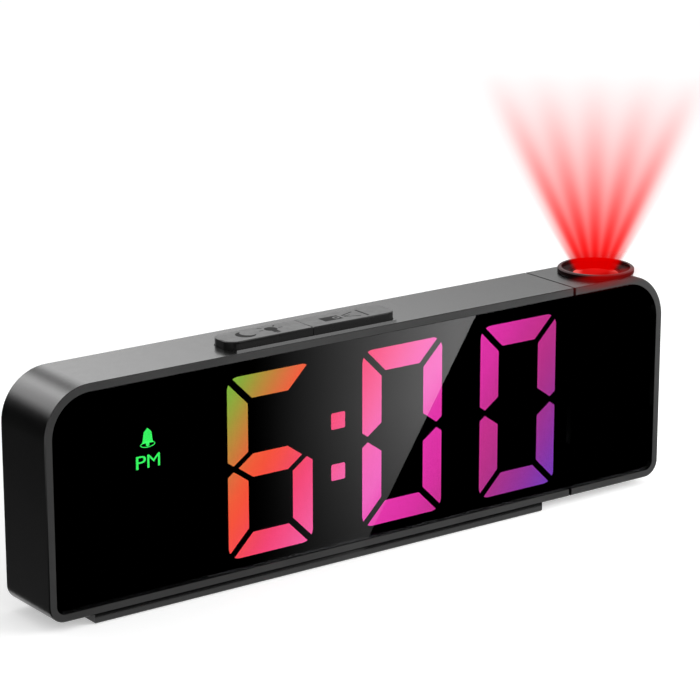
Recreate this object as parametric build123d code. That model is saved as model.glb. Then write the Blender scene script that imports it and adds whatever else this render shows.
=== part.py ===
"""Projection alarm clock: a slim display housing with a projector head that turns on its right end.

Millimetres. X runs along the clock, Y from the display to the back, Z up.
The origin is on the table, under the middle of the clock, on the rubber sole.
Front views are drawn in X and Z; every depth is a Y value measured from the same origin.
"""

import math
import os

from build123d import *

# ---------------------------------------------------------------- driving dimensions
# Overall
total_length = 200.0
body_height = 60.0
body_depth = 21.4
head_length = 32.3
seam_gap = 0.5
wall = 2.05
end_wall = 2.0
large_corner = 13.0
small_corner = 4.5
edge_break = 0.25

# Foot and sole
foot_left_inset = 12.8
foot_seam_inset = 9.9
foot_height = 2.35
foot_back_inset = 0.8
foot_screw_inset = 14.5
foot_screw_y = 4.0
foot_boss_height = 2.2
sole_inset = 4.0
sole_corner = 2.0
sole_thickness = 0.6
sole_proud = 0.15

# Windows
window_thickness = 1.6
window_recess = 0.2
window_clearance = 0.08
ledge_width = 1.2
ledge_depth = 1.2

# Rear covers
cover_thickness = 1.8
cover_clearance = 0.15

# Screws
boss_radius = 2.4
boss_wall_overlap = 0.1
boss_floor = 0.6
cover_screw_length = 7.0
cover_screw_left_low = 14.0
cover_screw_left_high = 22.0
cover_screw_seam_inset = 9.2
cover_screw_middle_low = 101.2
cover_screw_middle_high = 51.2
pilot_radius = 0.8
shank_radius = 0.78
screw_tip_gap = 0.2
shank_hole_radius = 1.1
head_radius = 1.9
head_thickness = 0.9
head_pocket_clearance = 0.2
recess_arm = 1.3
recess_width = 0.45
recess_depth = 0.5

# Display digits
digit_width = 26.4
digit_margin = 5.7
bar_width = 6.3
mitre_gap = 1.8
middle_half_gap = 0.75
middle_tip_inset = 1.8
middle_tip_gap = 1.5
middle_slope = 0.7
digit_corner = 3.4
display_drop = 0.62
minute_inset = 18.45
minute_pitch = 39.5
hour_pitch = 42.4
hour_tens_pitch = 37.7
colon_offset = 21.4
colon_size = 4.5
colon_half_spacing = 7.0
indicator_offset = 36.7
bell_plate = (7.0, 7.0)
bell_plate_height = 13.4
word_plate = (9.6, 5.4)
word_plate_height = 7.0
plate_corner = 0.5

# Light box and main board
box_depth = 4.4
box_inset = 4.0
box_pivot_clearance = 0.4
segment_lens_depth = 1.0
segment_lens_clearance = 0.03
cell_ledge = 0.6
board_thickness = 1.6
board_inset = 4.2
board_pivot_clearance = 1.2
led_size = (3.0, 1.4, 0.8)
led_half_spacing = 4.0

# Top keys
key_bar_seam_inset = 58.35
key_bar_length = 52.95
left_key_length = 25.9
key_split_gap = 0.2
key_front_inset = 3.0
key_depth = 9.0
key_proud = 2.2
key_corner = 3.0
key_clearance = 0.18
key_wall = 1.2
key_top_thickness = 1.5
key_travel = 0.6
key_lip_width = 1.0
key_lip_thickness = 0.8
key_lip_gap = 0.1
key_end_lip = 3.6
key_stem = (3.2, 2.2)
press_gap = 0.05

# Side-press switches under the keys
side_switch = (6.0, 3.6, 4.6)
side_switch_drop = 8.4
side_plunger_radius = 1.1
side_plunger_height = 0.9

# Rear buttons and their switches
button_count = 5
button_seam_inset = 11.2
button_pitch = 11.0
button_drop = 17.0
button_size = (7.0, 4.4)
button_corner = 2.0
button_proud = 0.6
button_clearance = 0.15
button_travel = 0.5
button_lip = 0.8
button_lip_thickness = 0.8
button_stem_radius = 1.2
tact_size = 6.0
tact_height = 3.5
plunger_radius = 1.75
plunger_height = 1.5

# Battery compartment
battery_centre = 40.0
cell_radius = 10.0
cell_thickness = 3.2
cell_clearance = 0.3
door_radius = 12.4
door_clearance = 0.12
door_thickness = 1.5
door_tab = 0.9
door_tab_thickness = 0.8
door_tab_width = 6.0
door_tab_clearance = 0.15
door_turn = 40.0
well_wall = 1.2
well_floor = 1.0
contact_thickness = 0.3
contact_width = 4.0

# Sockets, buzzer and chip
power_place = (43.2, 16.0)
power_body = (9.0, 9.0)
power_opening_radius = 3.6
power_bore_radius = 3.0
power_pin_radius = 1.0
power_bore_depth = 9.0
usb_place = (23.2, 16.0)
usb_body = (14.2, 7.0)
usb_mouth = (12.5, 5.1)
usb_opening = (13.4, 6.0)
usb_tongue = (11.0, 1.8)
usb_mouth_depth = 9.0
usb_tongue_offset = 0.9
buzzer_place = (85.2, 30.0)
buzzer_radius = 6.0
buzzer_height = 8.0
buzzer_port_radius = 1.2
grille_hole_radius = 0.75
grille_ring_pitch = 2.4
grille_rings = 3
chip_place = (67.2, 22.0)
chip_size = (9.0, 9.0, 1.4)
lead_socket = (5.0, 6.0, 5.0)
lead_socket_seam_inset = 17.2

# Pivot between housing and head
pivot_radius = 4.0
pivot_bore_radius = 2.6
pivot_running_clearance = 0.06
bush_wall = 1.2
bush_flange_radius = 6.4
bush_flange_gap = 0.1
pivot_flange_radius = 7.6
pivot_flange_thickness = 1.5
pivot_screw_circle = 5.8
pivot_screw_count = 3
pivot_pilot_floor = 0.4
washer_thickness = 0.5
washer_radius = 6.0
ring_thickness = 0.8
ring_radius = 5.6
groove_depth = 0.6
pivot_tail = 0.5
stop_circle = 7.6
stop_lug_radius = 0.55
stop_track_clearance = 0.15
stop_lug_reach = 1.0
stop_track_depth = 1.2
stop_overtravel = 2.0
head_turn = 90.0
lead_radius = 0.9
lead_bend = 2.4
lead_straight = 0.9

# Focus ring, barrel and lenses
lens_axis_shift = 0.45
ring_side_margin = 0.0
ring_height = 1.45
ring_lift = 0.12
ring_rim_width = 1.05
ring_shelf_depth = 0.85
ring_shelf_width = 1.6
ring_wall_draft = 0.15
ring_flange_width = 2.8
ring_wall = 0.95
ring_bore_rise = 0.05
ring_running_clearance = 0.07
ring_skirt_tail = 0.35
ring_edge_round = 0.3
collar_inset = 0.2
collar_height = 0.1
collar_drop = 0.6
clip_room = 0.3
clip_room_drop = 0.5
clip_width = 0.6
clip_thickness = 0.7
clip_groove = 0.4
clip_gap = 0.1
barrel_clearance = 0.08
barrel_top_drop = 0.15
barrel_length = 12.75
barrel_wall = 0.5
barrel_ledge = 0.7
barrel_key = (0.7, 2.0, 3.0)
barrel_key_clearance = 0.12
barrel_travel = 0.75
focus_turn = 90.0
objective_edge = 1.4
objective_bulge = 1.3
objective_drop = 0.3

# Lamp house and projector
lamp_side_clearance = 0.5
lamp_top_gap = 0.3
lamp_ear_radius = 2.0
lamp_ear_gap = 0.25
lamp_ear_angle = 31.4
lamp_ear_thickness = 1.6
lamp_ear_drop = 10.0
lamp_screw_length = 4.0
slide_size = (10.0, 8.0, 1.4)
slide_clearance = 0.1
slide_ledge_radius = 4.6
slide_height = 14.5
slide_headroom = 2.1
condenser_height = 8.0
condenser_radius = 5.6
condenser_edge = 1.0
condenser_bulge = 2.2
lamp_bore_radius = 5.7
lamp_base_overhang = 0.6
lamp_base_relief = 0.4
lamp_base_thickness = 1.6
projector_board_flange_gap = 0.5
projector_board_margin = 1.2
projector_board_thickness = 1.2
board_screw_inset = (1.6, 1.8)
lamp_led_base = (3.6, 0.7)
lamp_led_dome = 1.4
ribbon_width = 5.0
ribbon_thickness = 0.2
ribbon_clearance = 0.15
ribbon_overlap = 0.8
ribbon_slot_height = 1.0
head_socket = (2.4, 5.0, 3.2)
head_socket_inset = 0.1
head_socket_clearance = 0.3

# ---------------------------------------------------------------- places worked out from them
left_side = -total_length / 2
right_side = total_length / 2
head_left = right_side - head_length
main_right = head_left - seam_gap
base_z = sole_proud + foot_height
top_z = base_z + body_height
mid_z = base_z + body_height / 2
display_z = mid_z - display_drop
front_y = -body_depth / 2
back_y = body_depth / 2
window_front = front_y + window_recess
window_back = window_front + window_thickness
cover_inner = back_y - cover_thickness
roof_z = top_z - wall
floor_z = base_z + wall

box_front = window_back
box_back = box_front + box_depth
board_front = box_back
board_back = board_front + board_thickness

boss_inset = wall + boss_radius - boss_wall_overlap
lens_x = head_left + head_length / 2 + lens_axis_shift
head_cavity_left = head_left + end_wall
seam_middle = main_right + seam_gap / 2
pivot_inner = main_right - end_wall
pivot_ring_x = pivot_inner - washer_thickness - ring_thickness
pivot_end_x = pivot_ring_x - pivot_tail
pivot_flange_x = head_cavity_left + pivot_flange_thickness


def from_left(distance):
    """X of a point given by its distance from the clock's left side."""
    return left_side + distance


def from_seam(distance):
    """X of a point given by its distance to the left of the housing's seam end."""
    return main_right - distance


def from_base(height):
    """Z of a point given by its height above the body's underside."""
    return base_z + height


def on_board(place):
    """X and Z of a component given by its distance from the seam end and its height above the base."""
    return from_seam(place[0]), from_base(place[1])


minute_x = from_seam(minute_inset)
minute_tens_x = minute_x - minute_pitch
hour_x = minute_tens_x - hour_pitch
hour_tens_x = hour_x - hour_tens_pitch
battery_x = from_left(battery_centre)


# ---------------------------------------------------------------- drawing helpers
def panel(x_from, x_to, z_from, z_to, low_left=0.0, low_right=0.0, top_right=0.0, top_left=0.0):
    """Upright rectangle with its own radius at each corner."""
    face = Pos((x_from + x_to) / 2, (z_from + z_to) / 2) * Rectangle(x_to - x_from, z_to - z_from)
    corners = (
        (x_from, z_from, low_left),
        (x_to, z_from, low_right),
        (x_to, z_to, top_right),
        (x_from, z_to, top_left),
    )
    for x, z, radius in corners:
        if radius > 0:
            nearest = face.vertices().sort_by_distance((x, z, 0))[0]
            face = fillet(nearest, radius)
    return face


def upright(sketch, y_from, y_to):
    """Solid between two depths from a sketch drawn in X and Z."""
    return extrude(Plane((0, y_to, 0), x_dir=(1, 0, 0), z_dir=(0, -1, 0)) * sketch, y_to - y_from)


def level(sketch, z_from, z_to):
    """Solid between two heights from a sketch drawn in X and Y."""
    return extrude(Pos(0, 0, z_from) * sketch, z_to - z_from)


def crosswise(sketch, x_from, x_to):
    """Solid between two X values from a sketch drawn in Y and Z."""
    return extrude(Plane((x_from, 0, 0), x_dir=(0, 1, 0), z_dir=(1, 0, 0)) * sketch, x_to - x_from)


def disc(x, y, radius):
    """Circle at a point of the sketch plane."""
    return Pos(x, y) * Circle(radius)


def bar(x, y, width, depth):
    """Rectangle centred on a point of the sketch plane."""
    return Pos(x, y) * Rectangle(width, depth)


def block(x_from, x_to, y_from, y_to, z_from, z_to):
    """Box between two corners."""
    size = (x_to - x_from, y_to - y_from, z_to - z_from)
    return Pos((x_from + x_to) / 2, (y_from + y_to) / 2, (z_from + z_to) / 2) * Box(*size)


def turned(points, x, y):
    """Solid of revolution about the vertical axis at x, y from a closed list of radius and height."""
    profile = make_face(Polyline(*[(r, 0, z) for r, z in points], close=True))
    return Pos(x, y, 0) * revolve(profile, Axis.Z)


def joined(parts):
    """One shape that holds several separate solids."""
    return Compound([solid for part in parts for solid in part.solids()])


def screw(length):
    """Pan-head screw along -Z, its head's underside at the origin, with a cross recess."""
    body = level(Circle(head_radius), 0, head_thickness) + level(Circle(shank_radius), -length, 0)
    recess_floor = head_thickness - recess_depth
    for size in ((2 * recess_arm, recess_width), (recess_width, 2 * recess_arm)):
        body -= level(Rectangle(*size), recess_floor, head_thickness)
    return body


def screw_from_back(x, z, head_y, length):
    """Screw driven towards the front, its head's underside at head_y."""
    return Pos(x, head_y, z) * Rot(-90, 0, 0) * screw(length)


def screw_from_below(x, y, head_z, length):
    """Screw driven upwards, its head's underside at head_z."""
    return Pos(x, y, head_z) * Rot(180, 0, 0) * screw(length)


# ---------------------------------------------------------------- the two case shells
def main_outline(inset, right):
    """Outline of the main housing, moved in from its left, top and bottom sides."""
    return panel(
        left_side + inset, right, base_z + inset, top_z - inset,
        low_left=small_corner - inset, top_left=large_corner - inset,
    )


def head_outline(inset, left):
    """Outline of the projector head, moved in from its right, top and bottom sides."""
    return panel(
        left, right_side - inset, base_z + inset, top_z - inset,
        low_right=small_corner - inset, top_right=large_corner - inset,
    )


def open_shell(outer, pocket, throat, cavity):
    """Deep frame: a pocket for the window in front, a ledge behind it, and a cavity open at the back."""
    shell = upright(outer, front_y, back_y)
    rims = shell.faces().sort_by(Axis.Y)
    shell = chamfer(rims[0].edges() + rims[-1].edges(), edge_break)
    shell -= upright(pocket, front_y, window_back)
    shell -= upright(throat, window_back, window_back + ledge_depth)
    shell -= upright(cavity, window_back + ledge_depth, back_y)
    return shell


low_boss_z = base_z + boss_inset
high_boss_z = top_z - boss_inset
main_cover_screws = [
    (from_left(cover_screw_left_low), low_boss_z),
    (from_seam(cover_screw_middle_low), low_boss_z),
    (from_seam(cover_screw_seam_inset), low_boss_z),
    (from_left(cover_screw_left_high), high_boss_z),
    (from_seam(cover_screw_middle_high), high_boss_z),
    (from_seam(cover_screw_seam_inset), high_boss_z),
]

foot_left = from_left(foot_left_inset)
foot_right = from_seam(foot_seam_inset)
foot_screw_places = [
    (foot_left + foot_screw_inset, foot_screw_y),
    ((foot_left + foot_right) / 2, foot_screw_y),
    (foot_right - foot_screw_inset, foot_screw_y),
]

key_front = front_y + key_front_inset
key_back = key_front + key_depth
key_right = from_seam(key_bar_seam_inset)
key_left = key_right - key_bar_length
key_split = key_left + left_key_length


def key_bar_outline(grow):
    """Plan of the whole key bar, grown all round."""
    return panel(
        key_left - grow, key_right + grow, key_front - grow, key_back + grow,
        key_corner + grow, key_corner + grow, key_corner + grow, key_corner + grow,
    )


def main_housing():
    """Shell of the display housing, with the screw bosses, the key opening and the pivot wall."""
    cavity = main_outline(wall, pivot_inner)
    throat = main_outline(wall + ledge_width, pivot_inner)
    shell = open_shell(main_outline(0, main_right), main_outline(wall, main_right), throat, cavity)

    bosses = []
    for x, z in main_cover_screws:
        bosses.append(upright(disc(x, z, boss_radius), board_back, cover_inner))
    for x, y in foot_screw_places:
        bosses.append(level(disc(x, y, boss_radius), floor_z - boss_wall_overlap, floor_z + foot_boss_height))
    for boss in bosses:
        shell += boss
    for x, z in main_cover_screws:
        shell -= upright(disc(x, z, pilot_radius), cover_inner - cover_screw_length, cover_inner)
    for x, y in foot_screw_places:
        shell -= level(disc(x, y, pilot_radius), base_z, foot_pilot_top)

    shell -= level(key_bar_outline(key_clearance), roof_z - ledge_width, top_z)
    shell -= crosswise(disc(0, mid_z, pivot_radius + bush_wall), pivot_inner, main_right)
    return shell - stop_track()


def stop_track():
    """Half-round track in the end wall for the head's stop lug."""
    half_width = stop_lug_radius + stop_track_clearance
    reach = head_turn + stop_overtravel
    ring = Circle(stop_circle + half_width) - Circle(stop_circle - half_width)
    far = 2 * stop_circle
    edge = math.radians(90 - reach)
    wedge = Polygon(
        (0, 0), (far * math.cos(edge), far * math.sin(edge)), (far, far), (-far, far),
        (-far * math.cos(edge), far * math.sin(edge)), align=None,
    )
    sector = ring & wedge
    for side in (-1, 1):
        sector += disc(side * stop_circle * math.cos(edge), stop_circle * math.sin(edge), half_width)
    return crosswise(Pos(0, mid_z) * sector, main_right - stop_track_depth, main_right)


def head_housing():
    """Shell of the projector head, with the lens opening, the pivot hole and the lamp house bosses."""
    outer = head_outline(0, head_left)
    throat = head_outline(wall + ledge_width, head_cavity_left)
    cavity = head_outline(wall, head_cavity_left)
    shell = open_shell(outer, head_outline(wall, head_left), throat, cavity)
    limits = upright(head_outline(wall / 2, head_left), window_back, cover_inner)
    for x, z in head_cover_screws:
        shell += upright(disc(x, z, boss_radius), window_back + ledge_depth, cover_inner) & limits
    for x, y in lamp_ears:
        shell += level(disc(x, y, lamp_ear_radius), lamp_ear_top, roof_z + wall / 2) & limits
    shell = lens_collar(shell)
    for x, z in head_cover_screws:
        shell -= upright(disc(x, z, pilot_radius), cover_inner - cover_screw_length, cover_inner)
    for x, y in lamp_ears:
        shell -= level(disc(x, y, pilot_radius), lamp_ear_top, lamp_ear_top + lamp_screw_length)
    shell -= crosswise(disc(0, mid_z, pivot_radius), head_left, head_cavity_left)
    lug = crosswise(
        disc(0, mid_z + stop_circle, stop_lug_radius), head_left - seam_gap - stop_lug_reach, head_left
    )
    for y, z in pivot_screw_places():
        shell -= crosswise(disc(y, z, pilot_radius), head_left + pivot_pilot_floor, head_cavity_left)
    return shell + lug


def lens_collar(shell):
    """Raise the collar under the focus ring, over the rounded corner too, and bore it for the ring."""
    collar = disc(lens_x, 0, collar_radius)
    shell += level(collar, roof_z, top_z + collar_height)
    inner_depth = bar(lens_x, (window_back + cover_inner) / 2, 2 * collar_radius, cover_inner - window_back)
    shell += level(collar & inner_depth, roof_z - collar_drop, roof_z)
    shell -= level(disc(lens_x, 0, clip_radius + clip_room), lamp_top - clip_room_drop, roof_z)
    bore = disc(lens_x, 0, ring_skirt_radius + ring_running_clearance)
    return shell - level(bore, roof_z, top_z + collar_height)


head_boss_x = head_cavity_left + boss_radius - boss_wall_overlap
head_cover_screws = [
    (head_boss_x, low_boss_z),
    (right_side - boss_inset, low_boss_z),
    (head_boss_x, high_boss_z),
]

ring_outer_radius = body_depth / 2 - ring_side_margin
ring_rim_radius = ring_outer_radius - ring_rim_width
ring_skirt_radius = ring_outer_radius - ring_flange_width
ring_bore_radius = ring_skirt_radius - ring_wall
collar_radius = ring_outer_radius - collar_inset
clip_radius = ring_skirt_radius + clip_width
clip_top = roof_z - clip_gap
skirt_bottom = clip_top - clip_thickness - ring_skirt_tail

lamp_radius = cover_inner - lamp_side_clearance
lamp_base = (2 * (lamp_radius + lamp_base_overhang), 2 * (lamp_radius - lamp_base_relief))
lamp_top = skirt_bottom - lamp_top_gap
lamp_ear_top = top_z - lamp_ear_drop
lamp_ear_reach = lamp_radius + head_radius + lamp_ear_gap
lamp_ears = [
    (
        lens_x + side * lamp_ear_reach * math.cos(math.radians(lamp_ear_angle)),
        -side * lamp_ear_reach * math.sin(math.radians(lamp_ear_angle)),
    )
    for side in (-1, 1)
]


def pivot_screw_places():
    """Y and Z of the screws that hold the pivot tube to the head."""
    step = 360 / pivot_screw_count
    angles = [math.radians(90 + step * turn) for turn in range(pivot_screw_count)]
    reach = pivot_screw_circle
    return [(reach * math.cos(angle), mid_z + reach * math.sin(angle)) for angle in angles]


# ---------------------------------------------------------------- windows, foot and sole
def window(outline):
    """Black acrylic panel in a housing's front pocket."""
    return upright(outline, window_front, window_back)


def front_window():
    """Panel over the display, flush with the seam end."""
    return window(main_outline(wall + window_clearance, main_right))


def head_window():
    """Panel on the front of the head."""
    return window(head_outline(wall + window_clearance, head_left))


foot_bottom = base_z - foot_height
sole_top = sole_thickness
foot_pocket_top = sole_top + head_thickness + head_pocket_clearance / 2
foot_pilot_top = floor_z + foot_boss_height - boss_floor


def foot_plate():
    """Plate under the housing, recessed below for the sole and its screws."""
    plate = block(foot_left, foot_right, front_y, back_y - foot_back_inset, foot_bottom, base_z)
    rim = plate.faces().sort_by(Axis.Z)[0].edges()
    plate = chamfer(rim, edge_break)
    plate -= level(sole_outline(0.1), foot_bottom, sole_top)
    for x, y in foot_screw_places:
        plate -= level(disc(x, y, head_radius + head_pocket_clearance), sole_top, foot_pocket_top)
        plate -= level(disc(x, y, shank_hole_radius), foot_pocket_top, base_z)
    return plate


def sole_outline(grow):
    """Plan of the rubber sole."""
    middle_y = (front_y + back_y - foot_back_inset) / 2
    depth = body_depth - foot_back_inset - 2 * sole_inset
    return Pos((foot_left + foot_right) / 2, middle_y) * RectangleRounded(
        foot_right - foot_left - 2 * sole_inset + 2 * grow, depth + 2 * grow, sole_corner + grow
    )


def rubber_sole():
    """Rubber strip that the clock stands on."""
    return level(sole_outline(0), 0, sole_top)


def foot_screws():
    """Screws up through the foot into the housing."""
    reach = foot_pilot_top - foot_pocket_top - screw_tip_gap
    return joined([screw_from_below(x, y, foot_pocket_top, reach) for x, y in foot_screw_places])


# ---------------------------------------------------------------- rear covers
button_places = [
    (from_seam(button_seam_inset + button_pitch * (button_count - 1 - place)), top_z - button_drop)
    for place in range(button_count)
]
battery_z = mid_z
well_radius = door_radius + door_clearance + door_tab + door_tab_clearance + well_wall
door_seat_y = back_y - door_thickness
cell_floor_y = door_seat_y - cell_thickness - cell_clearance
well_back_y = cell_floor_y - well_floor


def cover_screw_cuts(cover, places):
    """Cut the head pockets and shank holes for a cover's screws."""
    pocket_floor = back_y - head_thickness - head_pocket_clearance
    for x, z in places:
        cover -= upright(disc(x, z, head_radius + head_pocket_clearance), pocket_floor, back_y)
        cover -= upright(disc(x, z, shank_hole_radius), cover_inner, pocket_floor)
    return cover


def cover_screws(places):
    """Screws through a rear cover into its bosses."""
    head_y = back_y - head_thickness - head_pocket_clearance
    length = head_y - cover_inner + cover_screw_length - screw_tip_gap
    return joined([screw_from_back(x, z, head_y, length) for x, z in places])


def rear_cover():
    """Back plate of the display housing, with the battery well and every rear opening."""
    outline = main_outline(wall + cover_clearance, pivot_inner - cover_clearance)
    cover = upright(outline, cover_inner, back_y)
    cover = cover_screw_cuts(cover, main_cover_screws)
    for x, z in button_places:
        hole = Pos(x, z) * RectangleRounded(
            button_size[0] + 2 * button_clearance, button_size[1] + 2 * button_clearance,
            button_corner + button_clearance,
        )
        cover -= upright(hole, cover_inner, back_y)
    cover += upright(disc(battery_x, battery_z, well_radius), well_back_y, cover_inner)
    cover -= battery_space()
    cover -= upright(disc(*on_board(power_place), power_opening_radius), cover_inner, back_y)
    cover -= upright(bar(*on_board(usb_place), *usb_opening), cover_inner, back_y)
    return cover - speaker_grille()


def speaker_grille():
    """Rings of round holes over the buzzer."""
    x, z = on_board(buzzer_place)
    holes = disc(x, z, grille_hole_radius)
    for ring in range(1, grille_rings):
        for turn in range(6 * ring):
            angle = math.radians(360 * turn / (6 * ring))
            radius = ring * grille_ring_pitch
            holes += disc(x + radius * math.cos(angle), z + radius * math.sin(angle), grille_hole_radius)
    return upright(holes, cover_inner, back_y)


def door_tab_sketch(radius_grow, width_grow):
    """Two opposite bayonet tabs of the battery door."""
    reach = door_radius + door_tab + radius_grow
    tabs = bar(0, 0, 2 * reach, door_tab_width + 2 * width_grow) & Circle(reach)
    return tabs - Circle(door_radius - 1.0)


def battery_space():
    """Hollow of the battery well: door seat, cell pocket, entry slots and the track for the tabs."""
    x, z = battery_x, battery_z
    opening = disc(x, z, door_radius + door_clearance)
    space = upright(opening, door_seat_y, back_y)
    space += upright(disc(x, z, cell_radius + cell_clearance), cell_floor_y, door_seat_y)
    track = Circle(door_radius + door_tab + door_tab_clearance)
    tab_top = door_seat_y + door_tab_thickness + door_tab_clearance
    space += upright(Pos(x, z) * track, door_seat_y, tab_top)
    slots = Rot(0, 0, -door_turn) * door_tab_sketch(door_tab_clearance, door_tab_clearance)
    space += upright(Pos(x, z) * slots, door_seat_y, back_y)
    return space


def battery_door():
    """Quarter-turn door with a coin slot and two bayonet tabs."""
    door = upright(disc(battery_x, battery_z, door_radius), door_seat_y, back_y)
    tabs = Pos(battery_x, battery_z) * door_tab_sketch(0, 0)
    door += upright(tabs, door_seat_y, door_seat_y + door_tab_thickness)
    coin_slot = Pos(battery_x, battery_z) * SlotOverall(1.2 * door_radius, 1.8)
    return door - upright(coin_slot, back_y - 0.8, back_y)


def coin_cell():
    """Lithium coin cell, lying on its contact with the wider can towards the door."""
    x, z = battery_x, battery_z
    front = cell_floor_y + contact_thickness
    can = upright(disc(x, z, cell_radius), front + 0.7, front + cell_thickness - 0.2)
    return can + upright(disc(x, z, cell_radius - 1.2), front, front + 0.7)


def battery_contact():
    """Sprung strip on the floor of the battery well."""
    strip = bar(battery_x, battery_z, 1.6 * cell_radius, contact_width)
    return upright(strip, cell_floor_y, cell_floor_y + contact_thickness)


def head_cover():
    """Back plate of the projector head."""
    outline = head_outline(wall + cover_clearance, head_cavity_left + cover_clearance)
    return cover_screw_cuts(upright(outline, cover_inner, back_y), head_cover_screws)


# ---------------------------------------------------------------- display
half_width = digit_width / 2
half_height = body_height / 2 - digit_margin
mitre_shift = mitre_gap / math.sqrt(2)


def digit_outline():
    """Rounded outline that every bar of a digit keeps within."""
    return RectangleRounded(digit_width, 2 * half_height, digit_corner)


def end_bar():
    """Top bar of a digit: mitred at 45 degrees, its outer corners on the digit outline."""
    outer, inner = half_width - mitre_shift, half_width - mitre_shift - bar_width
    shape = Polygon(
        (outer, half_height), (-outer, half_height),
        (-inner, half_height - bar_width), (inner, half_height - bar_width), align=None,
    )
    return digit_outline() & shape


def side_bar(side):
    """Upper bar on the left (-1) or right (1) of a digit: mitred above, pointed below."""
    tip_x = half_width - middle_tip_inset
    inner_x = half_width - bar_width
    points = [
        (half_width, half_height - mitre_shift),
        (inner_x, half_height - mitre_shift - bar_width),
        (inner_x, middle_half_gap + middle_slope * (tip_x - inner_x)),
        (tip_x, middle_half_gap),
        (half_width, middle_half_gap + middle_slope * middle_tip_inset),
    ]
    shape = Polygon(*[(side * x, z) for x, z in points[::side]], align=None)
    return digit_outline() & shape


def middle_bar():
    """Middle bar of a digit: a long hexagon."""
    tip = half_width - middle_tip_inset - middle_tip_gap
    shoulder = tip - bar_width / 2 / middle_slope
    half = bar_width / 2
    return Polygon(
        (tip, 0), (shoulder, half), (-shoulder, half), (-tip, 0), (-shoulder, -half), (shoulder, -half),
        align=None,
    )


def seven_bars():
    """The seven bars of one digit, around its centre, clockwise from the top and the middle one last."""
    top, left, right = end_bar(), side_bar(-1), side_bar(1)
    half_turn = Rot(0, 0, 180)
    return [top, right, half_turn * left, half_turn * top, half_turn * right, left, middle_bar()]


def display_shapes():
    """Every lit shape of the display by node name, drawn in X and Z."""
    digit = seven_bars()
    shapes = {"hour_tens_segments": [Pos(hour_tens_x, display_z) * shape for shape in digit[1:3]]}
    for name, x in (("hour", hour_x), ("minute_tens", minute_tens_x), ("minute", minute_x)):
        shapes[name + "_segments"] = [Pos(x, display_z) * shape for shape in digit]
    dot = RectangleRounded(colon_size, colon_size, plate_corner)
    colon_x = hour_x + colon_offset
    shapes["colon_dots"] = [Pos(colon_x, display_z + side * colon_half_spacing) * dot for side in (-1, 1)]
    icon_x = hour_x - indicator_offset
    shapes["indicator_lenses"] = [
        Pos(icon_x, display_z + bell_plate_height) * RectangleRounded(*bell_plate, plate_corner),
        Pos(icon_x, display_z + word_plate_height) * RectangleRounded(*word_plate, plate_corner),
    ]
    return shapes


def segment_lenses(shapes):
    """Milky lenses that fill the front of the light box's cells."""
    return joined([
        upright(offset(shape, -segment_lens_clearance), box_front, box_front + segment_lens_depth)
        for shape in shapes
    ])


def light_box(shapes):
    """Black frame with a stepped cell for every lit shape."""
    frame = upright(main_outline(box_inset, pivot_end_x - box_pivot_clearance), box_front, box_back)
    for group in shapes.values():
        for shape in group:
            frame -= upright(shape, box_front, box_front + segment_lens_depth)
            frame -= upright(offset(shape, -cell_ledge), box_front + segment_lens_depth, box_back)
    return frame


def segment_leds(shapes):
    """LED chips on the board behind every lit shape, two behind each long bar."""
    chips = []
    for group in shapes.values():
        for shape in group:
            middle, size = shape.bounding_box().center(), shape.bounding_box().size
            tall, wide = size.Y > 2 * bar_width, size.X > 2 * bar_width
            spread = led_half_spacing if tall or wide else 0.0
            for side in (-1, 1) if spread else (0,):
                x = middle.X + (side * spread if wide else 0)
                z = middle.Y + (side * spread if tall else 0)
                chip = bar(x, z, led_size[0], led_size[1])
                chips.append(upright(chip, board_front - led_size[2], board_front))
    return joined(chips)


def main_board():
    """Circuit board behind the light box."""
    return upright(main_outline(board_inset, pivot_end_x - board_pivot_clearance), board_front, board_back)


# ---------------------------------------------------------------- top keys and their switches
switch_y = board_back + side_switch[1] / 2
lip_top = roof_z - key_lip_gap
lip_bottom = lip_top - key_lip_thickness
plunger_top = top_z - side_switch_drop + side_plunger_height


def key(left, right, left_end):
    """One key: hollow cap through the roof, retaining lip below it and a stem over its switch."""
    edge_gap = key_split_gap / 2
    x_from, x_to = (left, right - edge_gap) if left_end else (left + edge_gap, right)
    half = bar((x_from + x_to) / 2, (key_front + key_back) / 2, x_to - x_from, 2 * key_depth)
    plan = key_bar_outline(0) & half
    cap_top = top_z + key_proud
    cap = level(plan, lip_bottom, cap_top)
    cap = chamfer(cap.faces().sort_by(Axis.Z)[-1].edges(), edge_break)
    lip = bar((x_from + x_to) / 2, key_back, x_to - x_from - 2 * key_wall, 2 * key_lip_width)
    cap += level(lip, lip_bottom, lip_top)
    outer_end = x_from if left_end else x_to
    end_lip = bar(outer_end, (key_front + key_back) / 2, 2 * key_lip_width, key_end_lip)
    cap += level(end_lip, lip_bottom, lip_top)
    cap -= level(offset(plan, -key_wall), lip_bottom, cap_top - key_top_thickness)
    stem_bottom = plunger_top + key_travel + press_gap
    stem_front, stem_back = switch_y - key_stem[1] / 2, key_back - key_wall / 2
    stem = bar(key_switch_x(left_end), (stem_front + stem_back) / 2, key_stem[0], stem_back - stem_front)
    return cap + level(stem, stem_bottom, cap_top - key_top_thickness / 2)


def key_switch_x(left_end):
    """X of the switch under the left or the right key."""
    return (key_left + key_split) / 2 if left_end else (key_split + key_right) / 2


def key_switches():
    """The two side-press switches on the main board."""
    width, depth, height = side_switch
    body_top = top_z - side_switch_drop
    switches = []
    for left_end in (True, False):
        x = key_switch_x(left_end)
        body = level(bar(x, switch_y, width, depth), body_top - height, body_top)
        switches.append(body + level(disc(x, switch_y, side_plunger_radius), body_top, plunger_top))
    return joined(switches)


# ---------------------------------------------------------------- rear buttons and board parts
tact_top = board_back + tact_height
tact_plunger_top = tact_top + plunger_height


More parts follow.
